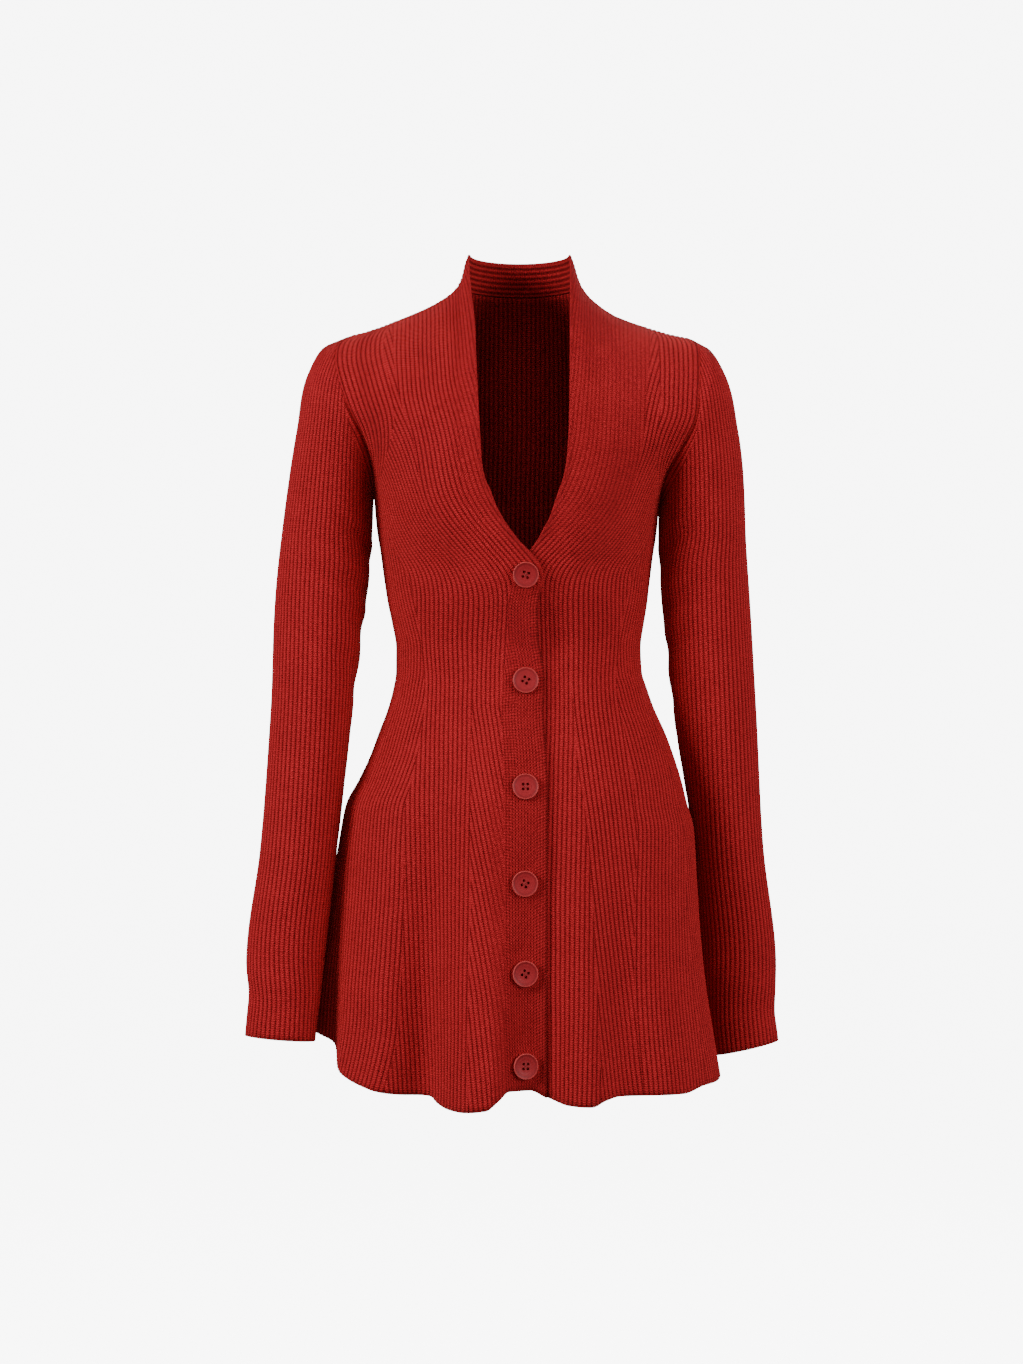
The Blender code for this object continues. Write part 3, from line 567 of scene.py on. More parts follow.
@dataclass
class BodyForm:
    """The dress as it hangs from the shoulders, without its relief."""

    waist_start: float = -660.0
    arms: float = -165.0
    hem_key: float = -750.0
    upper_keys: float = 240.0
    hem_rows: int = 15
    body_rows: int = 78
    upper_rows: int = 36

    def line(self, turns: Array, heights: Array) -> Array:
        """Points of the body.

        Args:
            turns: turns round the body in degrees.
            heights: their heights.

        Returns:
            n x 3 points.
        """
        angle = np.radians(turns)
        east, south = np.sin(angle), np.cos(angle)
        names = ("right", "left", "front", "back")
        right, left, front, back = (read(SECTIONS, "z", name, heights) for name in names)
        wide = np.where(east < 0.0, right, left)
        deep = np.where(south > 0.0, front, back)
        away = unit(np.stack([east / wide, -south / deep], axis=1))
        sink = np.zeros(len(turns))
        for trough in TROUGHS:
            gap = (turns - trough.turn + 180.0) % 360.0 - 180.0
            reach = trough.half_width * (1.0 + trough.skew * np.sign(gap))
            down = ease((trough.top - heights) / (trough.top + 800.0))
            sink += trough.depth * ease(1.0 - np.abs(gap) / reach) * down
        plan = np.stack([wide * east, -deep * south], axis=1) - away * sink[:, None]
        return np.column_stack([plan, heights])

    def rows(self, start: float, end: float) -> list[tuple[float, Array, Array]]:
        """Rows from the hem to the arms.

        Args:
            start: first turn in degrees.
            end: last turn.

        Returns:
            For each row its height key, its turns and its points.
        """
        turns = np.linspace(start, end, 721)
        hem = read(HEM, "turn", "z", (turns + 90.0) % 360.0 - 90.0)
        found = []
        for share in np.linspace(0.0, 1.0, self.hem_rows, endpoint=False):
            heights = hem + (self.waist_start - hem) * share
            key = self.hem_key + (self.waist_start - self.hem_key) * share
            found.append((key, turns, self.line(turns, heights)))
        for z in np.linspace(self.waist_start, self.arms, self.body_rows):
            found.append((float(z), turns, self.line(turns, np.full(len(turns), z))))
        return found

    def levels(self) -> Array:
        """The rows over the arms, as shares of the way up to the shoulder."""
        return np.linspace(0.0, 1.0, self.upper_rows + 1)[1:]

    def keys(self) -> Array:
        """The height key of every row of a panel."""
        lower = [row[0] for row in self.rows(0.0, 1.0)]
        return np.concatenate([lower, self.arms + self.upper_keys * self.levels()])


def shoulder(side: Side, first: int = 0, last: int | None = None) -> Array:
    """The shoulder line of one side, from the neck outwards.

    Args:
        side: the wearer's side.
        first: first point of the table to take.
        last: where to stop.

    Returns:
        n x 3 points.
    """
    table = RIGHT_SHOULDER if side is Side.RIGHT else LEFT_SHOULDER
    points = [(side.value * row.x, SHOULDER_Y, row.z) for row in table]
    return np.array(points[first:last])


def armhole(table: tuple, side: Side, count: int) -> Array:
    """An armhole edge from under the arm to the shoulder's tip."""
    names = ("right", "right_z") if side is Side.RIGHT else ("left", "left_z")
    points = [(side.value * getattr(r, names[0]), r.y, getattr(r, names[1])) for r in table]
    return flowing(np.array(points), count)


def soften_join(points: Array, row: int, reach: float, passes: int) -> Array:
    """Takes the crease out of a panel at the row where two surfaces join.

    Args:
        points: rows x columns x 3.
        row: the row of the join.
        reach: how many rows to each side are softened.
        passes: how often.

    Returns:
        The softened points, with the panel's edges kept.
    """
    rows, columns = points.shape[:2]
    near = np.exp(-(((np.arange(rows) - row) / reach) ** 2))
    inner = ease(np.minimum(np.arange(columns), np.arange(columns)[::-1]) / 22.0)
    weight = (near[:, None] * inner[None, :])[1:-1, :, None] * 0.5
    made = points.copy()
    for _ in range(passes):
        mean = (made[:-2] + made[2:]) / 2.0
        made[1:-1] += weight * (mean - made[1:-1])
    return made


def outward(points: Array, round_axis: bool) -> Array:
    """Outward directions of a panel.

    Args:
        points: rows x columns x 3.
        round_axis: True for a panel round the body, False for a tube of its own.

    Returns:
        rows x columns x 3 directions.
    """
    found = unit(np.cross(np.gradient(points, axis=1), np.gradient(points, axis=0)))
    centre = points.mean(axis=1, keepdims=True)
    if round_axis:
        centre = centre * np.array([0.0, 0.0, 1.0])
    away = points - centre
    away[..., 2] = 0.0
    return found if (found * away).sum() > 0.0 else -found


def ripple(keys: Array, arc: Array, seed: float) -> Array:
    """Small unevenness of hand-fed yarn, as a share of -1 to 1.

    Args:
        keys: rows x 1 heights.
        arc: rows x columns distances.
        seed: shifts the pattern from piece to piece.

    Returns:
        rows x columns numbers.
    """
    slow = np.sin(keys / 31.0 + seed) * np.sin(arc / 23.0 + 1.7 * seed)
    quick = np.sin(keys / 12.5 + 2.3 * seed + arc / 37.0) * np.sin(arc / 9.0 - seed)
    return 0.6 * slow + 0.4 * quick


def drawn_in(lift: Array, from_seam: Array) -> Array:
    """The relief of a panel, sunk and faded out beside its seams.

    Args:
        lift: the relief.
        from_seam: distance of each place from the nearest seam.

    Returns:
        The relief with its seams.
    """
    return (lift - SEAM_SINK * (1.0 - ease(from_seam / 2.6))) * ease(from_seam / 3.0 + 0.2)


def ridges(count: Array) -> Array:
    """Height of round ribs with narrow valleys, from 0 to 1."""
    return np.abs(np.cos(math.pi * count)) ** RIB_POWER


def steadiness(counts: Array, owner: Array) -> Array:
    """How well the rows of a panel follow its ribs, from 0 to 1.

    Args:
        counts: fields x rows x columns rib counts.
        owner: the field that each place belongs to.

    Returns:
        1 where ribs run up the columns, 0 where they cross them fast.
    """
    shift = np.abs(np.gradient(counts, axis=1))
    picked = np.take_along_axis(shift, owner[None], axis=0)[0]
    return 1.0 - ease((picked - 0.22) / 0.3)


@dataclass
class RibField:
    """Ribs that follow one line across the rows, at one spacing."""

    line: Array
    pitch: Array

    def count(self, arc: Array) -> Array:
        """How many ribs lie between the line and each place."""
        return (arc - self.line[:, None]) / self.pitch[:, None]


@dataclass
class Relief:
    """The ribs of a panel: fields of ribs side by side, and where each gives way."""

    fields: list[RibField]
    borders: list[Array]
    blend: float = 2.6

    def read(self, arc: Array) -> tuple[Array, Array, Array]:
        """The relief over a panel.

        Args:
            arc: rows x columns distances along each row.

        Returns:
            Height of the ribs from 0 to 1, the rib count of every field, and which
            field each place belongs to.
        """
        height = np.zeros(arc.shape)
        owner = np.zeros(arc.shape, int)
        counts = np.stack([ribs.count(arc) for ribs in self.fields])
        for index in range(len(self.fields)):
            weight = np.ones(arc.shape)
            inside = np.ones(arc.shape, bool)
            if index > 0:
                gap = arc - self.borders[index - 1][:, None]
                weight *= ease(gap / self.blend + 0.5)
                inside &= gap >= 0.0
            if index < len(self.borders):
                gap = arc - self.borders[index][:, None]
                weight *= 1.0 - ease(gap / self.blend + 0.5)
                inside &= gap < 0.0
            height += weight * ridges(counts[index])
            owner[inside] = index
        return np.clip(height, 0.0, 1.0), counts, owner


def placed(name: str, mesh: bpy.types.Mesh) -> bpy.types.Object:
    """A mesh as an object of the scene."""
    made = bpy.data.objects.new(name, mesh)
    bpy.context.scene.collection.objects.link(made)
    return made


@dataclass
class KnitCloth:
    """A panel of knit, ready to be made.

    plain is its form without relief, away the outward directions there and points its
    outer side. level, contrast and grid are the tone between ribs, which sets how light
    the painted shade in the rib valleys stays, the ribs' strength, which also sets how
    dark that painted shade is, and the share of grid knit, for each place or for all of them.
    """

    name: str
    plain: Array
    away: Array
    points: Array
    counts: Array
    owner: Array
    level: Any = 0.0
    contrast: Any = 1.0
    grid: Any = 0.0
    course: Array | None = None
    tube: bool = False
    bumpy: bool = True
    thickness: float = 1.9

    def make(self, look: bpy.types.Material) -> bpy.types.Object:
        """The panel as a shell with its relief.

        Args:
            look: the knit's material.

        Returns:
            The finished piece.
        """
        log.info("%s: %.3f square metres of knit", self.name, plain_area(self.plain))
        rows, columns = self.points.shape[:2]
        mesh = bmesh.new()
        bmesh.ops.create_grid(mesh, x_segments=columns - 1, y_segments=rows - 1, size=0.5)
        data = bpy.data.meshes.new(self.name)
        mesh.to_mesh(data)
        mesh.free()
        flat = np.zeros(len(data.vertices) * 3)
        data.vertices.foreach_get("co", flat)
        flat = flat.reshape(-1, 3)
        i = np.rint((flat[:, 0] + 0.5) * (columns - 1)).astype(int)
        j = np.rint((flat[:, 1] + 0.5) * (rows - 1)).astype(int)
        data.vertices.foreach_set("co", (self.points[j, i] * MM).ravel())
        corner = np.zeros(len(data.loops), int)
        data.loops.foreach_get("vertex_index", corner)
        rib = self.owner[j[corner].reshape(-1, 4).min(axis=1), i[corner].reshape(-1, 4).min(axis=1)]
        count = self.counts[np.repeat(rib, 4), j[corner], i[corner]]
        layer = data.uv_layers.new(name="stitches")
        course = courses(self.plain) if self.course is None else self.course
        stitches = np.column_stack([count, course[j, i][corner]])
        layer.data.foreach_set("uv", stitches.ravel())
        flatness = 1.0 - steadiness(self.counts, self.owner) if self.bumpy else 0.0
        labels = ("level", "contrast", "grid", "flatness")
        for label, values in zip(labels, (self.level, self.contrast, self.grid, flatness)):
            spread = np.broadcast_to(values, (rows, columns))[j, i]
            kept = data.attributes.new(label, "FLOAT", "POINT")
            kept.data.foreach_set("value", spread.astype(np.float32))
        across = np.gradient(self.points, axis=1)
        turned = (np.cross(across, np.gradient(self.points, axis=0)) * self.away).sum() < 0.0
        mesh = bmesh.new()
        mesh.from_mesh(data)
        if self.tube:
            bmesh.ops.remove_doubles(mesh, verts=mesh.verts, dist=0.02 * MM)
        if turned:
            bmesh.ops.reverse_faces(mesh, faces=mesh.faces)
        for face in mesh.faces:
            face.smooth = True
        mesh.to_mesh(data)
        mesh.free()
        data.materials.append(look)
        made = placed(self.name, data)
        shell = made.modifiers.new("cloth", "SOLIDIFY")
        shell.thickness = self.thickness * MM
        shell.offset = -1.0
        return made


class Panel:
    """A piece of the dress that is made of knit."""

    def cloth(self) -> KnitCloth:
        """The piece with its relief, which each kind of panel works out."""
        raise NotImplementedError

    def make(self, look: bpy.types.Material) -> bpy.types.Object:
        """The finished piece in the knit's material."""
        return self.cloth().make(look)


def plain_area(points: Array) -> float:
    """Area of a panel without its relief, in square metres."""
    one = points[1:, 1:] - points[:-1, :-1]
    two = points[1:, :-1] - points[:-1, 1:]
    return float(np.linalg.norm(np.cross(one, two), axis=-1).sum() / 2.0) * MM * MM


def courses(points: Array) -> Array:
    """Stitch courses counted up each column."""
    steps = np.linalg.norm(np.diff(points, axis=0), axis=2)
    run = np.concatenate([np.zeros((1, points.shape[1])), np.cumsum(steps, axis=0)])
    return run / COURSE


def arcs(points: Array) -> Array:
    """Distance along every row from its first column."""
    steps = np.linalg.norm(np.diff(points, axis=1), axis=2)
    return np.concatenate([np.zeros((points.shape[0], 1)), np.cumsum(steps, axis=1)], axis=1)


@dataclass(frozen=True)
class Seat:
    """Where the middle of a button's back rests, in millimetres, and the way it faces."""

    centre: Array
    normal: Array


@dataclass
class Front(Panel):
    """One front of the dress with its neckline ribs and its placket."""

    side: Side
    form: BodyForm
    columns: int = 272
    rib_height: float = 0.95
    placket_top: float = -262.0
    placket_width: float = 26.0
    under_sink: float = 3.7
    gape_z: float = -300.0
    gape_out: float = 4.5
    gape_in: float = 3.0
    seat_radius: float = 12.75
    seat_gap: float = 0.35
    seats: list = field(default_factory=list)

    @property
    def name(self) -> str:
        """The piece's name."""
        return f"front_{self.side.word}_knit"

    @property
    def over(self) -> bool:
        """Whether this front laps over the other."""
        return self.side is Side.RIGHT

    def base(self) -> Array:
        """The front without its ribs: rows x columns x 3."""
        near, far = (25.0, -90.0) if self.over else (-25.0, 90.0)
        edges = OVER_EDGE if self.over else UNDER_EDGE
        rows = []
        for _, turns, line in self.form.rows(near, far):
            middle = float(np.interp(8.0, np.sort(turns), line[np.argsort(turns), 2]))
            cut = self.side.value * float(read(edges, "z", "x", middle))
            run = self.side.value * line[:, 0]
            first = along(line, run, cut)
            rows.append(even(np.vstack([first, line[run > cut + 0.01]]), self.columns))
        low = rows[-1]
        neck = np.array(OVER_NECK if self.over else UNDER_NECK)
        start = flowing(np.vstack([low[0], neck]), 400)
        end = armhole(FRONT_ARMHOLE, self.side, 400)
        top = flowing(shoulder(self.side), self.columns)
        upper = between(low, top, start, end, self.form.levels())
        join = len(rows) - 1
        return soften_join(np.concatenate([np.array(rows), upper]), join, 9.0, 110)

    def fullness(self, points: Array) -> Array:
        """How far the chest stands out and the cloth turns in under it."""
        across = self.side.value * points[..., 0]
        z = points[..., 2]
        total = np.zeros(z.shape)
        for bulge in CHEST:
            aside = ((across - bulge.across) / bulge.width) ** 2
            total += bulge.rise * np.exp(-aside - ((z - bulge.z) / bulge.height) ** 2)
        return total * ease((across - 22.0) / 40.0)

    def relief(self, points: Array, keys: Array, arc: Array) -> tuple:
        """Ribs, stitches and the grid knit of the placket.

        Args:
            points: the front without ribs.
            keys: height keys of its rows.
            arc: distances from the front edge.

        Returns:
            Height of the ribs, rib counts, owners, contrast and share of grid knit.
        """
        over = self.over
        lines = rib_lines(OVER_RIBS if over else UNDER_RIBS, keys)
        away = self.side.value * points[..., 0]

        def at(x: Array) -> Array:
            """Distance from the edge at which each row passes x."""
            return np.array([np.interp(x[r], away[r], arc[r]) for r in range(len(x))])

        border = at(lines.border)
        first = border + lines.first - lines.border if over else at(lines.first)
        end = arc[:, -1]
        side = np.full(len(keys), RIB_PITCH)
        fields = [
            RibField(first, lines.first_pitch),
            RibField(at(lines.second), lines.second_pitch),
            RibField(end - lines.third, side),
            RibField(end, side),
        ]
        borders = [border, end - lines.join, end - lines.outer_join]
        wobble = 0.35 * ripple(keys[:, None], arc, 0.4 if over else 2.1)
        height, counts, owner = Relief(fields, borders).read(arc + wobble)
        fine = np.full(len(keys), self.placket_width) if over else border
        fine = ease((fine[:, None] - arc) / 8.0 + 0.5) * ease((keys[:, None] + 225.0) / 50.0)
        contrast = 1.0 - (0.3 if over else 0.5) * fine
        placket = at(read(PLACKET_LINE, "z", "x", keys) if over else np.full(len(keys), -16.0))
        if over:
            quiet = ease((placket[:, None] + 13.0 - arc) / 10.0 + 0.5)
            contrast -= 0.5 * quiet * ease((-440.0 - keys[:, None]) / 80.0)
        grid = ease((placket[:, None] - arc) / 1.5 + 0.5)
        grid = grid * ease((self.placket_top - points[..., 2]) / 5.0 + 0.5)
        counts = np.concatenate([counts, (arc / GRID_PITCH)[None]])
        owner = np.where(grid > 0.5, len(counts) - 1, owner)
        return height, counts, owner, contrast, grid

    def seat(self, number: int, cloth: Array) -> Seat:
        """Where a button rests, tilted halfway between its solid and the cloth.

        Args:
            number: the button's number.
            cloth: the outer side of the front.

        Returns:
            A seat just clear of the ribs under the button.
        """
        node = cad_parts[f"button_{number}"]
        cloud = np.array([vertex.co for vertex in node.data.vertices]) / MM
        middle = (cloud.max(axis=0) + cloud.min(axis=0)) / 2.0
        solid = np.linalg.svd(cloud - cloud.mean(axis=0), full_matrices=False)[2][-1]
        solid = -solid if solid[1] > 0.0 else solid
        away = np.hypot(cloth[..., 0] - middle[0], cloth[..., 2] - middle[2])
        near = cloth[away < self.seat_radius - 2.5]
        sides = np.column_stack([near[:, 0] - middle[0], near[:, 2] - middle[2], np.ones(len(near))])
        slope = np.linalg.lstsq(sides, near[:, 1], rcond=None)[0]
        normal = unit(solid + unit(np.array([slope[0], -1.0, slope[1]])))
        centre = np.array([middle[0], slope[2], middle[2]])
        rise = ((cloth[away < self.seat_radius] - centre) @ normal).max() + self.seat_gap
        return Seat(centre + normal * rise, normal)

    def seated(self, cloth: Array) -> Array:
        """The cloth, raised to the buttons' backs where it lies lower under them."""
        for number in range(1, len(BUTTON_TURNS) + 1):
            seat = self.seat(number, cloth)
            self.seats.append(seat)
            gap = cloth - seat.centre
            rise = gap @ seat.normal
            away = np.linalg.norm(gap - rise[..., None] * seat.normal, axis=-1)
            share = 1.0 - ease((away - self.seat_radius + 1.0) / 9.0)
            lift = np.maximum(-rise - self.seat_gap, 0.0) * share
            cloth = cloth + seat.normal * lift[..., None]
        return cloth

    def cloth(self) -> KnitCloth:
        """The front with its relief."""
        points = self.base()
        keys = self.form.keys()
        arc = arcs(points)
        away = outward(points, True)
        over = self.over
        height, counts, owner, contrast, grid = self.relief(points, keys, arc)
        steady = steadiness(counts, owner) * contrast
        height = height * steady + SMOOTHED * (1.0 - steady)
        lift = self.rib_height * height * (1.0 - grid)
        lift = lift + (0.2 + 0.4 * ridges(arc / GRID_PITCH)) * grid
        lift = drawn_in(lift, arc[:, -1:] - arc)
        roll = ease(1.0 - arc / 4.2)
        lift = np.where(roll > 0.0, lift * (1.0 - roll) + (1.05 if over else 0.6) * roll, lift)
        lift -= 0.9 * ease(1.0 - arc / 1.1)
        lift += UNEVEN * ripple(keys[:, None], arc * 0.5, 3.3 if over else 5.1)
        z = points[..., 2]
        if over:
            gape = ease(1.0 - np.abs(z - self.gape_z) / 38.0)
            lift += self.gape_out * gape * ease(1.0 - arc / self.placket_width)
        else:
            below = ease((-190.0 - z) / 22.0)
            under = ease((62.0 - points[..., 0]) / 32.0)
            gape = ease(1.0 - np.abs(z - self.gape_z) / 42.0)
            lift -= (self.under_sink + self.gape_in * gape) * below * under
        lift += self.fullness(points)
        # Painted shade in the rib valleys weakens where contrast falls, and the rolled front edge gets a
        # painted highlight from 0.1 * roll.
        contrast = (contrast * (1.0 - grid) + 0.6 * grid) * (1.0 - roll)
        level = 0.66 * (1.0 - contrast) * (1.0 - grid) + 0.2 * grid + 0.1 * roll
        outer = points + away * lift[..., None]
        outer = self.seated(outer) if over else outer
        return KnitCloth(self.name, points, away, outer, counts, owner, level, contrast, grid)


@dataclass
class Back(Panel):
    """The back, in one piece."""

    form: BodyForm
    columns: int = 376
    rib_height: float = 0.95
    turns: tuple = (270.0, 90.0)
    neck_width: float = 61.5
    neck_depth: float = 62.0
    neck_z: float = 44.0
    neck_dip: float = 6.0
    name: str = "back_knit"

    def neck(self, count: int = 81) -> Array:
        """The seam round the back of the neck, from the wearer's right."""
        angle = np.linspace(math.pi, 0.0, count)
        x = self.neck_width * np.cos(angle)
        y = SHOULDER_Y + self.neck_depth * np.sin(angle)
        z = self.neck_z - self.neck_dip * np.sin(angle)
        return np.column_stack([x, y, z])

    def base(self) -> Array:
        """The back without its ribs: rows x columns x 3."""
        rows = [even(line, self.columns) for _, _, line in self.form.rows(*self.turns)]
        low = rows[-1]
        half = self.columns // 2
        arc = self.neck()
        centre = flowing(np.vstack([low[half], np.array(CENTRE_BACK), arc[40]]), 400)
        right_top = np.vstack([shoulder(Side.RIGHT, NECK_POINT)[::-1], arc[1:41]])
        left_top = np.vstack([arc[40:-1], shoulder(Side.LEFT, NECK_POINT)])
        levels = self.form.levels()
        right = between(
            low[: half + 1],
            even(right_top, half + 1),
            armhole(BACK_ARMHOLE, Side.RIGHT, 400),
            centre,
            levels,
        )
        left = between(
            low[half:],
            even(left_top, self.columns - half),
            centre,
            armhole(BACK_ARMHOLE, Side.LEFT, 400),
            levels,
        )
        upper = np.concatenate([right[:, :-1], left], axis=1)
        made = soften_join(np.concatenate([np.array(rows), upper]), len(rows) - 1, 7.0, 60)
        for _ in range(60):
            band = slice(half - 14, half + 15)
            mean = (made[:, half - 15 : half + 14] + made[:, half - 13 : half + 16]) / 2.0
            fade = ease(1.0 - np.abs(np.arange(-14, 15)) / 15.0)[None, :, None]
            made[:-1, band] += (0.5 * fade * (mean - made[:, band]))[:-1]
        return made

    def cloth(self) -> KnitCloth:
        """The back with its relief."""
        points = self.base()
        keys = self.form.keys()
        arc = arcs(points)
        away = outward(points, True)
        middle = arc[:, self.columns // 2]
        end = arc[:, -1]
        lines = rib_lines(OVER_RIBS, keys)
        pitch = np.full(len(keys), RIB_PITCH)
        starts = (np.zeros(len(keys)), lines.third, middle, end - lines.third, end)
        fields = [RibField(start, pitch) for start in starts]
        borders = [lines.outer_join, lines.join, end - lines.join, end - lines.outer_join]
        wobble = 0.3 * ripple(keys[:, None], arc, 1.2)
        height, counts, owner = Relief(fields, borders).read(arc + wobble)
        steady = steadiness(counts, owner)
        height = height * steady + SMOOTHED * (1.0 - steady)
        lift = drawn_in(self.rib_height * height, np.minimum(arc, arc[:, -1:] - arc))
        lift += UNEVEN * ripple(keys[:, None], arc * 0.5, 0.7)
        outer = points + away * lift[..., None]
        return KnitCloth(self.name, points, away, outer, counts, owner)


@dataclass
class Collar(Panel):
    """The stand round the back of the neck, with level ribs."""

    seam: Array
    columns: int = 190
    ribs: int = 7
    steps: int = 8
    top_width: float = 50.5
    top_depth: float = 53.0
    top_z: float = 76.0
    top_dip: float = 4.0
    rib_height: float = 0.95
    name: str = "collar_knit"

    def base(self) -> Array:
        """The stand without its ribs: rows x columns x 3."""
        angle = np.linspace(math.pi, 0.0, 121)
        x = self.top_width * np.cos(angle)
        y = SHOULDER_Y + self.top_depth * np.sin(angle)
        z = self.top_z - self.top_dip * np.sin(angle)
        top = even(np.column_stack([x, y, z]), self.columns)
        right = flowing(shoulder(Side.RIGHT, 0, NECK_POINT + 1)[::-1], 100)
        left = flowing(shoulder(Side.LEFT, 0, NECK_POINT + 1)[::-1], 100)
        levels = np.linspace(0.0, 1.0, self.ribs * self.steps + 1)
        return between(even(self.seam, self.columns), top, right, left, levels)

    def cloth(self) -> KnitCloth:
        """The stand with its relief."""
        points = self.base()
        away = outward(points, True)
        level = np.linspace(0.0, self.ribs, points.shape[0])[:, None]
        count = level + 0.5 + np.zeros(points.shape[:2])
        height = ridges(count)
        top = ease((self.ribs - level) / 0.7)
        lift = self.rib_height * height - 0.5 * (1.0 - ease(level / 0.4))
        lift = lift * top + 0.4 * (1.0 - top)
        return KnitCloth(
            name=self.name,
            plain=points,
            away=away,
            points=points + away * lift[..., None],
            counts=count[None],
            owner=np.zeros(height.shape, int),
            level=0.9 * (1.0 - top),
            contrast=top,
            course=arcs(points) / COURSE,
            bumpy=False,
        )


@dataclass
class Sleeve(Panel):
    """A long sleeve, a tube with its seam under the arm."""

    side: Side
    rings: tuple
    creases: tuple
    columns: int = 301
    rows: int = 138
    rib_height: float = 0.95
    cap_rows: int = 62
    cap_length: float = 125.0
    seam_band: float = 13.0
    arm_z: float = -190.0
    tip_z: float = -55.0
    cap_slope: float = 0.6
    turn_over: float = 45.0

    @property
    def name(self) -> str:
        """The piece's name."""
        return f"sleeve_{self.side.word}_knit"

    def loop(self, ring: Ring) -> Array:
        """One ring: from under the arm over the front to the outside and back."""
        half = self.columns // 2
        sign = self.side.value
        outer = np.array([sign * ring.outer, ring.middle, ring.outer_z])
        inner = np.array([sign * ring.inner, ring.middle, ring.inner_z])
        centre, reach = (outer + inner) / 2.0, (outer - inner) / 2.0
        angle = np.linspace(math.pi, 0.0, 181)[:, None]
        to_front = np.array([sign * ring.lean, -ring.front, 0.0])
        to_back = np.array([sign * ring.lean, ring.back, 0.0])
        front = centre + reach * np.cos(angle) + to_front * np.sin(angle)
        back = (centre + reach * np.cos(angle) + to_back * np.sin(angle))[::-1]
        return np.vstack([even(front, half + 1), even(back, half + 1)[1:]])

    def base(self) -> Array:
        """The sleeve without its ribs, from the cuff up."""
        half = self.columns // 2
        front = armhole(FRONT_ARMHOLE, self.side, half + 1)
        back = armhole(BACK_ARMHOLE, self.side, half + 1)[::-1]
        loops = [np.vstack([front, back[1:]])]
        loops += [self.loop(ring) for ring in self.rings]
        lines = np.array(loops[::-1])
        gaps = np.linalg.norm(np.diff(lines, axis=0), axis=2).mean(axis=1)
        stations = np.concatenate([[0.0], np.cumsum(gaps)])
        cap = stations[-1] - self.cap_length
        plain = np.linspace(0.0, cap, self.rows - self.cap_rows, endpoint=False)
        return loft(lines, stations, np.concatenate([plain, np.linspace(cap, stations[-1], self.cap_rows)]))

    def ribs(self, points: Array, arc: Array) -> Array:
        """Rib count: round the sleeve below the arm, straight up from there above it.

        Args:
            points: the sleeve without its ribs.
            arc: distances along its rows.

        Returns:
            Count of ribs from the outermost one.
        """
        half = self.columns // 2
        around = (arc - arc[:, half : half + 1]) / RIB_PITCH
        away = self.side.value * points[..., 0]
        z = points[..., 2]
        outer = np.interp(z, z[:, half], away[:, half])
        tip = np.interp(self.tip_z, z[:, half], away[:, half])
        cap = np.maximum(outer, tip - self.cap_slope * (z - self.tip_z))
        outer = np.where(z > self.tip_z, cap, outer)
        inner = np.interp(np.minimum(z, self.arm_z), z[:, 0], away[:, 0])
        share = np.clip((away - inner) / np.maximum(outer - inner, 1.0), 0.0, 1.0)
        row = int(np.argmin(np.abs(z[:, half] - self.arm_z)))
        front = np.interp(share, share[row, : half + 1], around[row, : half + 1])
        back = np.interp(share, share[row, half:][::-1], around[row, half:][::-1])
        straight = np.where(np.arange(self.columns)[None, :] <= half, front, back)
        blend = ease((z - self.arm_z + self.turn_over) / self.turn_over)
        return around * (1.0 - blend) + straight * blend

    def creased(self, points: Array) -> Array:
        """How far each place sinks in the sleeve's creases."""
        turn = np.linspace(0.0, 360.0, self.columns)[None, :]
        z = points.mean(axis=1, keepdims=True)[..., 2]
        sink = np.zeros(points.shape[:2])
        # Each crease is a groove with a lower ridge beside it.
        for crease in self.creases:
            gap = (turn - crease.turn + 180.0) % 360.0 - 180.0
            along = (z - crease.z - crease.slope * gap) / crease.height
            bump = np.exp(-(along**2)) - 0.45 * np.exp(-((along - 1.9) ** 2))
            sink += crease.depth * bump * np.exp(-((gap / crease.width) ** 2))
        return sink

    def cloth(self) -> KnitCloth:
        """The sleeve with its relief."""
        points = self.base()
        arc = arcs(points)
        away = outward(points, False)
        both = unit(away[:, 0] + away[:, -1])
        away[:, 0], away[:, -1] = both, both
        top = np.linalg.norm(points - points[-1:], axis=2)
        around = (arc - arc[:, self.columns // 2][:, None]) / RIB_PITCH
        counts = np.stack([self.ribs(points, arc), top / RIB_PITCH, around])
        band = self.seam_band * ease((-50.0 - points[-1:, :, 2]) / 70.0)
        owner = np.where(top < band, 1, np.where(np.abs(counts[0]) < 0.5, 2, 0))
        picked = np.take_along_axis(counts, owner[None], axis=0)[0]
        steady = steadiness(counts, owner)
        ends = ease(np.minimum(arc, arc[:, -1:] - arc) / 2.4)
        height = ridges(picked) * steady + SMOOTHED * (1.0 - steady)
        height = height * ends + 0.3 * (1.0 - ends)
        lift = self.rib_height * height - 0.7 * (1.0 - ease(top / 3.2))
        lift = lift * ease(top / 4.0 + 0.15) - self.creased(points)
        return KnitCloth(
            name=self.name,
            plain=points,
            away=away,
            points=points + away * lift[..., None],
            counts=counts,
            owner=owner,
            level=0.3 * (1.0 - ends),
            contrast=ends,
            tube=True,
        )


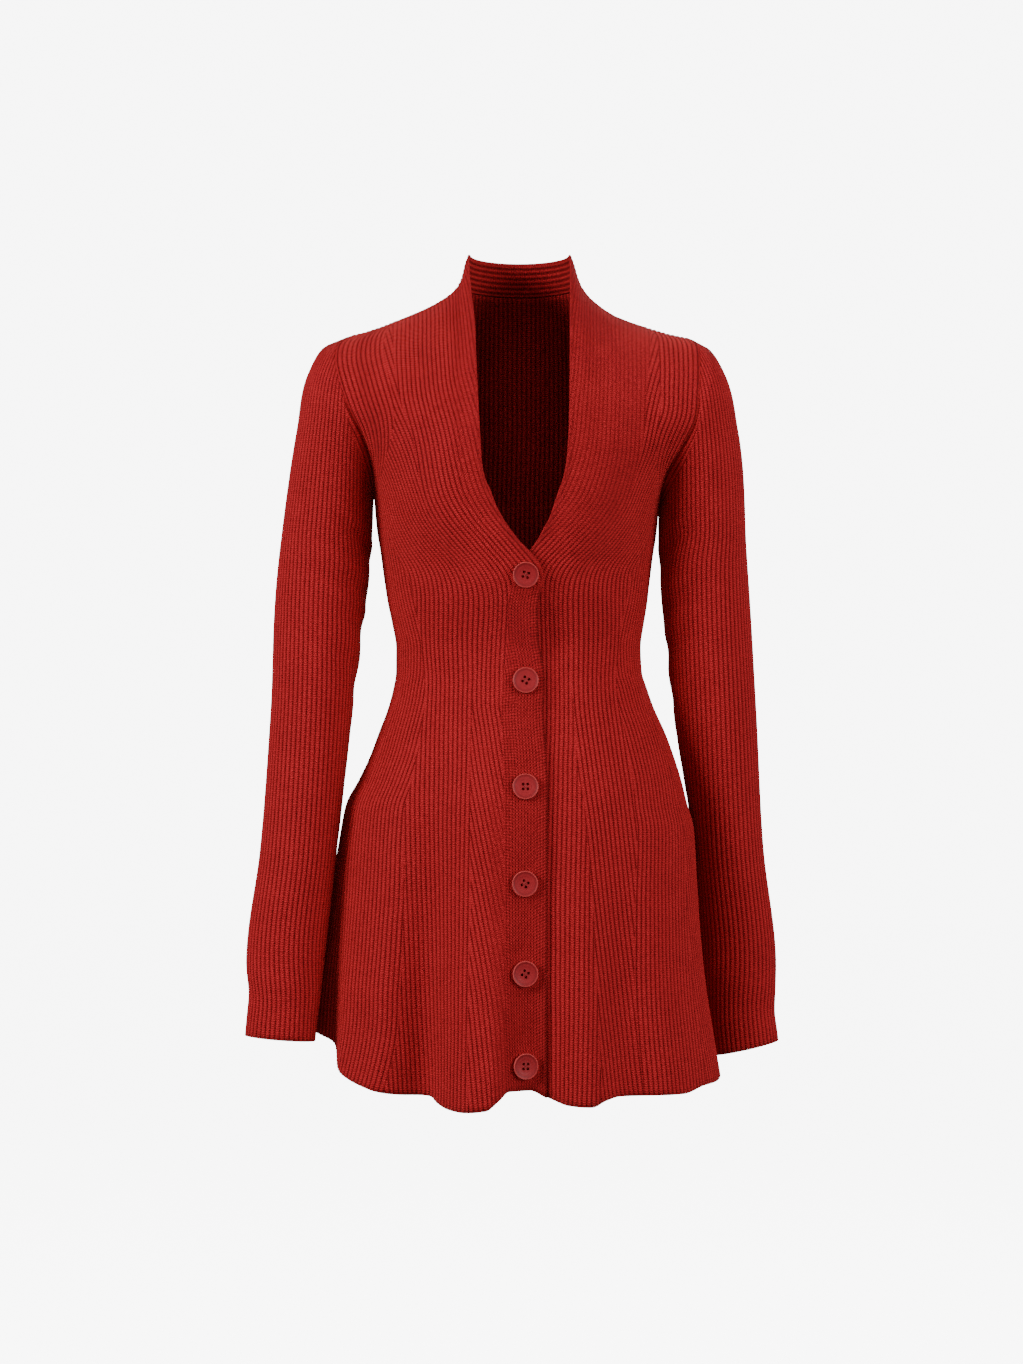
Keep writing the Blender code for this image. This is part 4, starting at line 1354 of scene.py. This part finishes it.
class Value:
    """A number in a material, so that shader maths reads as Python."""

    def __init__(self, graph: "Graph", socket: bpy.types.NodeSocket) -> None:
        """Wraps a socket of a graph."""
        self.graph = graph
        self.socket = socket

    def math(self, operation: str, *others: Any) -> "Value":
        """A Math node on this value.

        Args:
            operation: the node's operation.
            others: its other inputs, values or numbers.

        Returns:
            The result.
        """
        inputs = {index: value for index, value in enumerate((self, *others))}
        node = self.graph.node("ShaderNodeMath", {"operation": operation}, inputs)
        return Value(self.graph, node.outputs[0])

    def __add__(self, other: Any) -> "Value":
        """Sum."""
        return self.math("ADD", other)

    __radd__ = __add__

    def __mul__(self, other: Any) -> "Value":
        """Product."""
        return self.math("MULTIPLY", other)

    __rmul__ = __mul__

    def __sub__(self, other: Any) -> "Value":
        """Difference."""
        return self.math("SUBTRACT", other)

    def __rsub__(self, other: float) -> "Value":
        """Difference from a number."""
        return (self * -1.0).math("ADD", other)

    def cosine(self) -> "Value":
        """Cosine of this many turns."""
        return (self * (2.0 * math.pi)).math("COSINE")

    def clamped(self) -> "Value":
        """Kept between 0 and 1."""
        return self.math("MINIMUM", 1.0).math("MAXIMUM", 0.0)


class Graph:
    """A material's nodes, made by one method."""

    def __init__(self, name: str) -> None:
        """Starts an empty material."""
        self.material = bpy.data.materials.new(name)
        self.material.use_nodes = True
        self.tree = self.material.node_tree
        self.tree.nodes.clear()

    def node(self, kind: str, settings: dict, inputs: dict) -> bpy.types.Node:
        """Adds a node.

        Args:
            kind: the node's type.
            settings: its own settings, set first.
            inputs: values or links by socket name or number.

        Returns:
            The node.
        """
        made = self.tree.nodes.new(kind)
        for key, value in settings.items():
            setattr(made, key, value)
        for key, value in inputs.items():
            if isinstance(value, Value):
                self.tree.links.new(value.socket, made.inputs[key])
            elif isinstance(value, bpy.types.NodeSocket):
                self.tree.links.new(value, made.inputs[key])
            else:
                made.inputs[key].default_value = value
        return made

    def value(self, kind: str, output: str | int, settings: dict, inputs: dict) -> Value:
        """Adds a node and takes one of its outputs as a number."""
        return Value(self, self.node(kind, settings, inputs).outputs[output])

    def label(self, name: str) -> Value:
        """A number that the mesh carries."""
        return self.value("ShaderNodeAttribute", "Fac", {"attribute_name": name}, {})

    def noise(self, scale: float, detail: float) -> Value:
        """Soft noise on the dress's own coordinates."""
        place = self.node("ShaderNodeTexCoord", {}, {}).outputs["Object"]
        inputs = {"Vector": place, "Scale": scale, "Detail": detail}
        return self.value("ShaderNodeTexNoise", "Fac", {}, inputs)

    def bump(self, strength: float, distance: float, height: Value) -> bpy.types.NodeSocket:
        """The normal of a surface with this relief."""
        inputs = {"Strength": strength, "Distance": distance, "Height": height}
        return self.node("ShaderNodeBump", {}, inputs).outputs[0]

    def blend(self, share: Any, first: Any, second: Any) -> bpy.types.NodeSocket:
        """Mixes two colours by a share of the second."""
        settings = {"data_type": "RGBA"}
        made = self.node("ShaderNodeMix", settings, {0: share, 6: first, 7: second})
        return made.outputs[2]

    def surface(self, inputs: dict) -> bpy.types.Material:
        """Ends the material in a Principled surface."""
        shader = self.node("ShaderNodeBsdfPrincipled", {}, inputs)
        self.node("ShaderNodeOutputMaterial", {}, {"Surface": shader.outputs[0]})
        return self.material


@dataclass(frozen=True)
class Knit:
    """Red rib knit of a soft, slightly fuzzy yarn, with painted shade in its rib valleys and between its
    stitches.
    """

    name: str = "red_rib_knit"
    crest: tuple = (0.44, 0.018, 0.024, 1.0)
    # Painted shade: the near black red drawn down the rib valleys and between the stitches.
    valley_shade: tuple = (0.050, 0.0008, 0.0012, 1.0)
    # Lighter, pinker fuzz hairs, scattered by fine noise.
    fuzz_hair_tone: tuple = (0.50, 0.030, 0.024, 1.0)
    sheen: tuple = (1.0, 0.09, 0.075, 1.0)
    leg_slant: float = 0.55

    def make(self) -> bpy.types.Material:
        """The material, on the panel's own stitch map and attributes."""
        graph = Graph(self.name)
        stitch = graph.node("ShaderNodeUVMap", {"uv_map": "stitches"}, {})
        split = graph.node("ShaderNodeSeparateXYZ", {}, {0: stitch.outputs[0]})
        rib, course = Value(graph, split.outputs[0]), Value(graph, split.outputs[1])
        labels = ("level", "contrast", "grid", "flatness")
        level, contrast, grid, flatness = (graph.label(name) for name in labels)
        # Painted shade: ridge is light on the rib crests and dark down the rib valleys; contrast sets how
        # strong that painted shade is and level how light it stays.
        ridge = (rib * 0.5).cosine().math("ABSOLUTE").math("POWER", RIB_POWER)
        crest = ridge * contrast + level
        fuzz = graph.noise(1400.0, 3.0)
        cloud = graph.noise(38.0, 3.0)
        tuft = graph.noise(430.0, 2.0)
        off_centre = ((rib + 0.5).math("FRACT") - 0.5).math("ABSOLUTE") * 2.0
        legs = (course - off_centre * self.leg_slant).cosine() * 0.5 + 0.5
        knots = rib.cosine() * (course * (COURSE / GRID_PITCH)).cosine() * 0.5 + 0.5
        relief = legs * (1.0 - grid) + knots * grid
        # Painted shade between the stitch legs and the grid knit's knots; the grid knit is also darker
        # overall.
        tone = crest * 0.85 + relief * (grid * 0.45 + 0.22) - grid * 0.28 - 0.14
        tone = tone + (tuft - 0.5) * 0.5 + (fuzz - 0.5) * 0.45 + (cloud - 0.5) * 0.2
        colour = graph.blend(tone.clamped(), self.valley_shade, self.crest)
        # Fuzz hairs only where the painted shade leaves the rib light.
        hairs = ((fuzz - 0.54) * 4.0 * crest).clamped()
        colour = graph.blend(hairs * 0.5, colour, self.fuzz_hair_tone)
        raised = relief * 0.8 + tuft * 0.6 + fuzz * 0.5 + ridge * flatness * contrast
        return graph.surface(
            {
                "Base Color": colour,
                "Roughness": 0.92,
                "Sheen Weight": 0.32,
                "Sheen Roughness": 0.4,
                "Sheen Tint": self.sheen,
                "Specular IOR Level": 0.06,
                "Normal": graph.bump(0.8, 0.0007, raised),
            }
        )


@dataclass(frozen=True)
class ButtonPlastic:
    """Satin plastic, dyed to match the yarn and a little pinker."""

    name: str = "dyed_button_plastic"
    light: tuple = (0.30, 0.013, 0.017, 1.0)
    dark: tuple = (0.20, 0.007, 0.010, 1.0)
    # Painted highlight: light pink red along the button's outer edge, where the rounded edge catches the
    # light.
    lip_highlight: tuple = (0.58, 0.075, 0.065, 1.0)
    # Painted shade: near black red in a ring inside the outer edge and down the hole walls.
    hollow_shade: tuple = (0.040, 0.001, 0.0015, 1.0)

    def make(self) -> bpy.types.Material:
        """The material, with faint clouding, a painted highlight along its outer edge and painted shade in
        a ring inside that edge and down the holes.
        """
        graph = Graph(self.name)
        rim_highlight_and_shade = graph.label("rim_highlight_and_shade")
        cloud = graph.noise(170.0, 4.0)
        grain = graph.noise(2600.0, 2.0)
        colour = graph.blend((cloud * 0.8 + grain * 0.3).clamped(), self.dark, self.light)
        # Painted highlight along the outer edge, from the positive part of the edge attribute.
        colour = graph.blend((rim_highlight_and_shade * 0.65).clamped(), colour, self.lip_highlight)
        # Painted shade from the negative part of the edge attribute.
        colour = graph.blend((rim_highlight_and_shade * -1.0).clamped(), colour, self.hollow_shade)
        return graph.surface(
            {
                "Base Color": colour,
                "Roughness": grain * 0.12 + 0.46,
                "Specular IOR Level": 0.2,
                "Normal": graph.bump(0.12, 0.0002, grain),
            }
        )


@dataclass(frozen=True)
class SewingThread:
    """Twisted red sewing thread."""

    name: str = "red_thread"
    light: tuple = (0.30, 0.010, 0.010, 1.0)
    dark: tuple = (0.14, 0.003, 0.004, 1.0)

    def make(self) -> bpy.types.Material:
        """The material, with the thread's fine twist."""
        graph = Graph(self.name)
        twist = graph.noise(3200.0, 2.0)
        colour = graph.blend(twist, self.dark, self.light)
        normal = graph.bump(0.5, 0.0002, twist)
        return graph.surface({"Base Color": colour, "Roughness": 0.8, "Normal": normal})


@dataclass(frozen=True)
class PaleStage:
    """Plain pale paper, evenly lit."""

    name: str = "pale_paper"
    tone: tuple = (0.90, 0.90, 0.90, 1.0)
    glow: float = 7.5

    def make(self) -> bpy.types.Material:
        """The material."""
        graph = Graph(self.name)
        return graph.surface(
            {
                "Base Color": self.tone,
                "Roughness": 0.95,
                "Emission Color": (1.0, 1.0, 1.0, 1.0),
                "Emission Strength": self.glow,
            }
        )


def spun(mesh: bmesh.types.BMesh, geom: list, axis: tuple, angle: float, steps: int) -> None:
    """Spins edges about an axis through the middle, closed when they go all the way round."""
    bmesh.ops.spin(
        mesh,
        geom=geom,
        cent=(0.0, 0.0, 0.0),
        axis=axis,
        dvec=(0.0, 0.0, 0.0),
        angle=angle,
        steps=steps,
        use_merge=angle > math.pi,
        use_duplicate=False,
    )


@dataclass
class Buttons:
    """The six dished buttons with four holes, and the thread that sews them on."""

    seats: list
    radius: float = 12.75
    thickness: float = 3.4
    dish: float = 1.15
    hole_spacing: float = 4.6
    hole_radius: float = 1.45
    thread_radius: float = 0.26
    parts: list = field(default_factory=list)

    def place(self, seat: Seat, degrees: float) -> Matrix:
        """Where a button sits.

        Args:
            seat: where its back rests.
            degrees: how far it is turned on its thread.

        Returns:
            The transform of the button, in metres.
        """
        turn = Vector(seat.normal).to_track_quat("Z", "Y").to_matrix().to_4x4()
        spin = Matrix.Rotation(math.radians(degrees), 4, "Z")
        return Matrix.Translation(Vector(seat.centre * MM)) @ turn @ spin

    def blank(self) -> bmesh.types.BMesh:
        """A button turned from its profile, its back at z = 0."""
        r, t = self.radius, self.thickness
        profile = (
            (0.0, 0.0),
            (r - 2.4, 0.0),
            (r - 1.2, 0.35),
            (r - 0.35, 1.1),
            (r, t * 0.58),
            (r - 0.08, t * 0.84),
            (r - 0.32, t * 0.96),
            (r - 0.65, t),
            (r - 1.0, t - 0.08),
            (r - 1.5, t - 0.36),
            (r - 2.4, t - 0.66),
            (r - 3.9, t - 0.86),
            (r - 5.2, t - 0.92),
            (r - 5.5, t - 1.04),
            (r - 7.6, t - self.dish),
            (0.0, t - self.dish),
        )
        mesh = bmesh.new()
        spots = [mesh.verts.new(Vector((x, 0.0, z)) * MM) for x, z in profile]
        edges = [mesh.edges.new(pair) for pair in zip(spots[:-1], spots[1:])]
        spun(mesh, spots + edges, (0.0, 0.0, 1.0), 2.0 * math.pi, 64)
        bmesh.ops.remove_doubles(mesh, verts=mesh.verts, dist=0.01 * MM)
        bmesh.ops.recalc_face_normals(mesh, faces=mesh.faces)
        return mesh

    def pins(self) -> bmesh.types.BMesh:
        """Four round pins that drill the holes."""
        mesh = bmesh.new()
        half = self.hole_spacing / 2.0 * MM
        for x in (-half, half):
            for y in (-half, half):
                bmesh.ops.create_cone(
                    mesh,
                    cap_ends=True,
                    segments=20,
                    radius1=self.hole_radius * MM,
                    radius2=self.hole_radius * MM,
                    depth=20.0 * MM,
                    matrix=Matrix.Translation((x, y, 0.0)),
                )
        return mesh

    def object_of(self, mesh: bmesh.types.BMesh, name: str) -> bpy.types.Object:
        """A mesh as an object in the scene."""
        data = bpy.data.meshes.new(name)
        mesh.to_mesh(data)
        mesh.free()
        return placed(name, data)

    def drilled(self) -> bpy.types.Mesh:
        """The button's mesh with its holes cut."""
        body = self.object_of(self.blank(), "button_blank")
        drill = self.object_of(self.pins(), "button_drill")
        cut = body.modifiers.new("holes", "BOOLEAN")
        cut.operation = "DIFFERENCE"
        cut.solver = "EXACT"
        cut.object = drill
        bpy.context.view_layer.update()
        graph = bpy.context.evaluated_depsgraph_get()
        data = bpy.data.meshes.new_from_object(body.evaluated_get(graph))
        # Painted light on the button: a painted highlight along the outer edge, painted shade in a ring
        # inside it and, at -1, down the hole walls.
        rim_highlight_and_shade = data.attributes.new("rim_highlight_and_shade", "FLOAT", "POINT")
        half = self.hole_spacing / 2.0
        for vertex, kept in zip(data.vertices, rim_highlight_and_shade.data):
            x, y, z = vertex.co / MM
            radius = math.hypot(x, y)
            hole = math.hypot(abs(x) - half, abs(y) - half)
            lip_highlight = math.exp(-(((radius - self.radius + 0.5) / 0.4) ** 2))
            shade = math.exp(-(((radius - self.radius + 2.1) / 0.8) ** 2))
            kept.value = lip_highlight - 0.35 * shade if z > self.thickness - 1.0 else 0.0
            # Painted shade down the hole walls.
            if hole < self.hole_radius + 0.1 and z < self.thickness - self.dish - 0.1:
                kept.value = -1.0
        bpy.data.objects.remove(body)
        bpy.data.objects.remove(drill)
        return data

    def stitches(self) -> bmesh.types.BMesh:
        """Two loops of thread that cross between the holes.

        Returns:
            The loops, on a button whose back is at z = 0.
        """
        mesh = bmesh.new()
        reach = self.hole_spacing * math.sqrt(0.5) - self.hole_radius * 0.9
        level = self.thickness - self.dish - 0.5
        for index, turn in enumerate((45.0, 135.0)):
            for strand in (-0.27, 0.27):
                start = len(mesh.verts)
                bmesh.ops.create_circle(
                    mesh,
                    segments=8,
                    radius=self.thread_radius * MM,
                    matrix=Matrix.Translation((reach * MM, 0.0, 0.0)),
                )
                mesh.verts.ensure_lookup_table()
                ring = mesh.verts[start:]
                edges = list({e for v in ring for e in v.link_edges})
                spun(mesh, list(ring) + edges, (0.0, -1.0, 0.0), math.pi, 14)
                mesh.verts.ensure_lookup_table()
                loop = mesh.verts[start:]
                flat = Matrix.Diagonal((1.0, 1.0, 0.34, 1.0))
                shift = Matrix.Translation(Vector((0.0, strand, level + 0.25 * index)) * MM)
                spin = Matrix.Rotation(math.radians(turn), 4, "Z")
                bmesh.ops.transform(mesh, matrix=spin @ shift @ flat, verts=loop)
        open_edges = [e for e in mesh.edges if e.is_boundary]
        bmesh.ops.holes_fill(mesh, edges=open_edges, sides=0)
        bmesh.ops.recalc_face_normals(mesh, faces=mesh.faces)
        return mesh

    def make(self, plastic: bpy.types.Material, thread: bpy.types.Material) -> list:
        """Builds the buttons and their thread.

        Args:
            plastic: the buttons' material.
            thread: the thread's material.

        Returns:
            Pairs of a button and its thread.
        """
        blank = self.drilled()
        for number, (rest, degrees) in enumerate(zip(self.seats, BUTTON_TURNS), 1):
            seat = self.place(rest, degrees)
            data = blank.copy()
            data.name = f"button_{number}_turned"
            data.transform(seat)
            data.materials.clear()
            data.materials.append(plastic)
            button = placed(f"button_{number}_turned", data)
            crease = button.modifiers.new("edges", "EDGE_SPLIT")
            crease.split_angle = math.radians(40.0)
            sewn = self.object_of(self.stitches(), f"button_{number}_thread")
            sewn.data.transform(seat)
            sewn.data.materials.append(thread)
            for face in [*data.polygons, *sewn.data.polygons]:
                face.use_smooth = True
            self.parts.append((button, sewn))
            log.info("button %d: %d faces", number, len(data.polygons))
        return self.parts


@dataclass
class Studio:
    """Pale cove, soft lights and the camera."""

    distance: float = 4.0
    centre_x: float = -0.008
    centre_z: float = -0.352
    frame_height: float = 1.364
    cove_radius: float = 12.0
    floor: float = -1.3
    aim: tuple = (0.0, 0.0, -0.35)
    sky: float = 0.22
    sensor: float = 36.0

    def cove(self, look: bpy.types.Material) -> bpy.types.Object:
        """A pale floor that curves up all round into a dome.

        It is seen, but sends no light back to the dress, so the lamps alone shape the folds.
        """
        mesh = bmesh.new()
        bmesh.ops.create_uvsphere(mesh, u_segments=48, v_segments=32, radius=self.cove_radius)
        for vertex in mesh.verts:
            vertex.co.z = max(vertex.co.z, self.floor)
        bmesh.ops.dissolve_degenerate(mesh, edges=mesh.edges, dist=0.001)
        bmesh.ops.recalc_face_normals(mesh, faces=mesh.faces)
        bmesh.ops.reverse_faces(mesh, faces=mesh.faces)
        data = bpy.data.meshes.new("pale_cove")
        mesh.to_mesh(data)
        mesh.free()
        data.materials.append(look)
        made = placed("pale_cove", data)
        made.visible_diffuse = False
        made.visible_glossy = False
        made.visible_shadow = False
        return made

    def light(self, lamp: Lamp) -> None:
        """A soft square light that faces the dress."""
        glow = bpy.data.lights.new(lamp.name, "AREA")
        glow.shape = "SQUARE"
        glow.size = lamp.size
        glow.energy = lamp.power
        made = bpy.data.objects.new(lamp.name, glow)
        made.location = lamp.place
        made.rotation_mode = "QUATERNION"
        towards = Vector(self.aim) - Vector(lamp.place)
        made.rotation_quaternion = towards.to_track_quat("-Z", "Y")
        bpy.context.scene.collection.objects.link(made)

    def camera(self) -> None:
        """The camera, level with the dress and square to it."""
        lens = bpy.data.cameras.new("camera")
        lens.sensor_width = self.sensor
        lens.lens = self.sensor * self.distance / self.frame_height
        lens.clip_start = 0.1
        lens.clip_end = 60.0
        made = bpy.data.objects.new("camera", lens)
        made.location = (self.centre_x, -self.distance, self.centre_z)
        made.rotation_euler = (math.radians(90.0), 0.0, 0.0)
        bpy.context.scene.collection.objects.link(made)
        bpy.context.scene.camera = made

    def make(self) -> None:
        """Sets up the cove, the lights, the sky and the camera."""
        self.cove(PaleStage().make())
        for lamp in LAMPS:
            self.light(lamp)
        world = bpy.data.worlds.new("soft_sky")
        world.use_nodes = True
        sky = world.node_tree.nodes["Background"].inputs
        sky[0].default_value = (1.0, 1.0, 1.0, 1.0)
        sky[1].default_value = self.sky
        bpy.context.scene.world = world
        self.camera()


@dataclass
class Dress:
    """The whole dress."""

    form: BodyForm = field(default_factory=BodyForm)
    front_form: BodyForm = field(default_factory=lambda: BodyForm(body_rows=108, upper_rows=48))
    made: dict = field(default_factory=dict)

    def keep(self, piece: bpy.types.Object, node: str) -> bpy.types.Object:
        """Ties a piece to the frame in a solid's place.

        Args:
            piece: the finished piece.
            node: the solid that it stands for.

        Returns:
            The piece.
        """
        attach(piece, "root")
        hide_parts(node)
        self.made[node] = piece
        return piece

    def make(self) -> None:
        """Builds every piece."""
        knit = Knit().make()
        back = Back(self.form)
        over = Front(Side.RIGHT, self.front_form)
        panels: dict[str, Panel] = {
            "front_right": over,
            "front_left": Front(Side.LEFT, self.front_form),
            "back": back,
            "collar": Collar(back.neck()),
            "sleeve_right": Sleeve(Side.RIGHT, RIGHT_SLEEVE, RIGHT_CREASES),
            "sleeve_left": Sleeve(Side.LEFT, LEFT_SLEEVE, LEFT_CREASES),
        }
        for node, panel in panels.items():
            piece = self.keep(panel.make(knit), node)
            log.info("%s: %d faces", piece.name, len(piece.data.polygons))
        pairs = Buttons(over.seats).make(ButtonPlastic().make(), SewingThread().make())
        for number, (button, thread) in enumerate(pairs, 1):
            self.keep(button, f"button_{number}")
            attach(thread, "root")


def main() -> None:
    """Builds the dress and its studio."""
    logging.basicConfig(level=logging.INFO, format="%(name)s: %(message)s")
    dress = Dress()
    dress.make()
    Studio().make()
    bpy.context.view_layer.update()


if __name__ == "__main__":
    main()
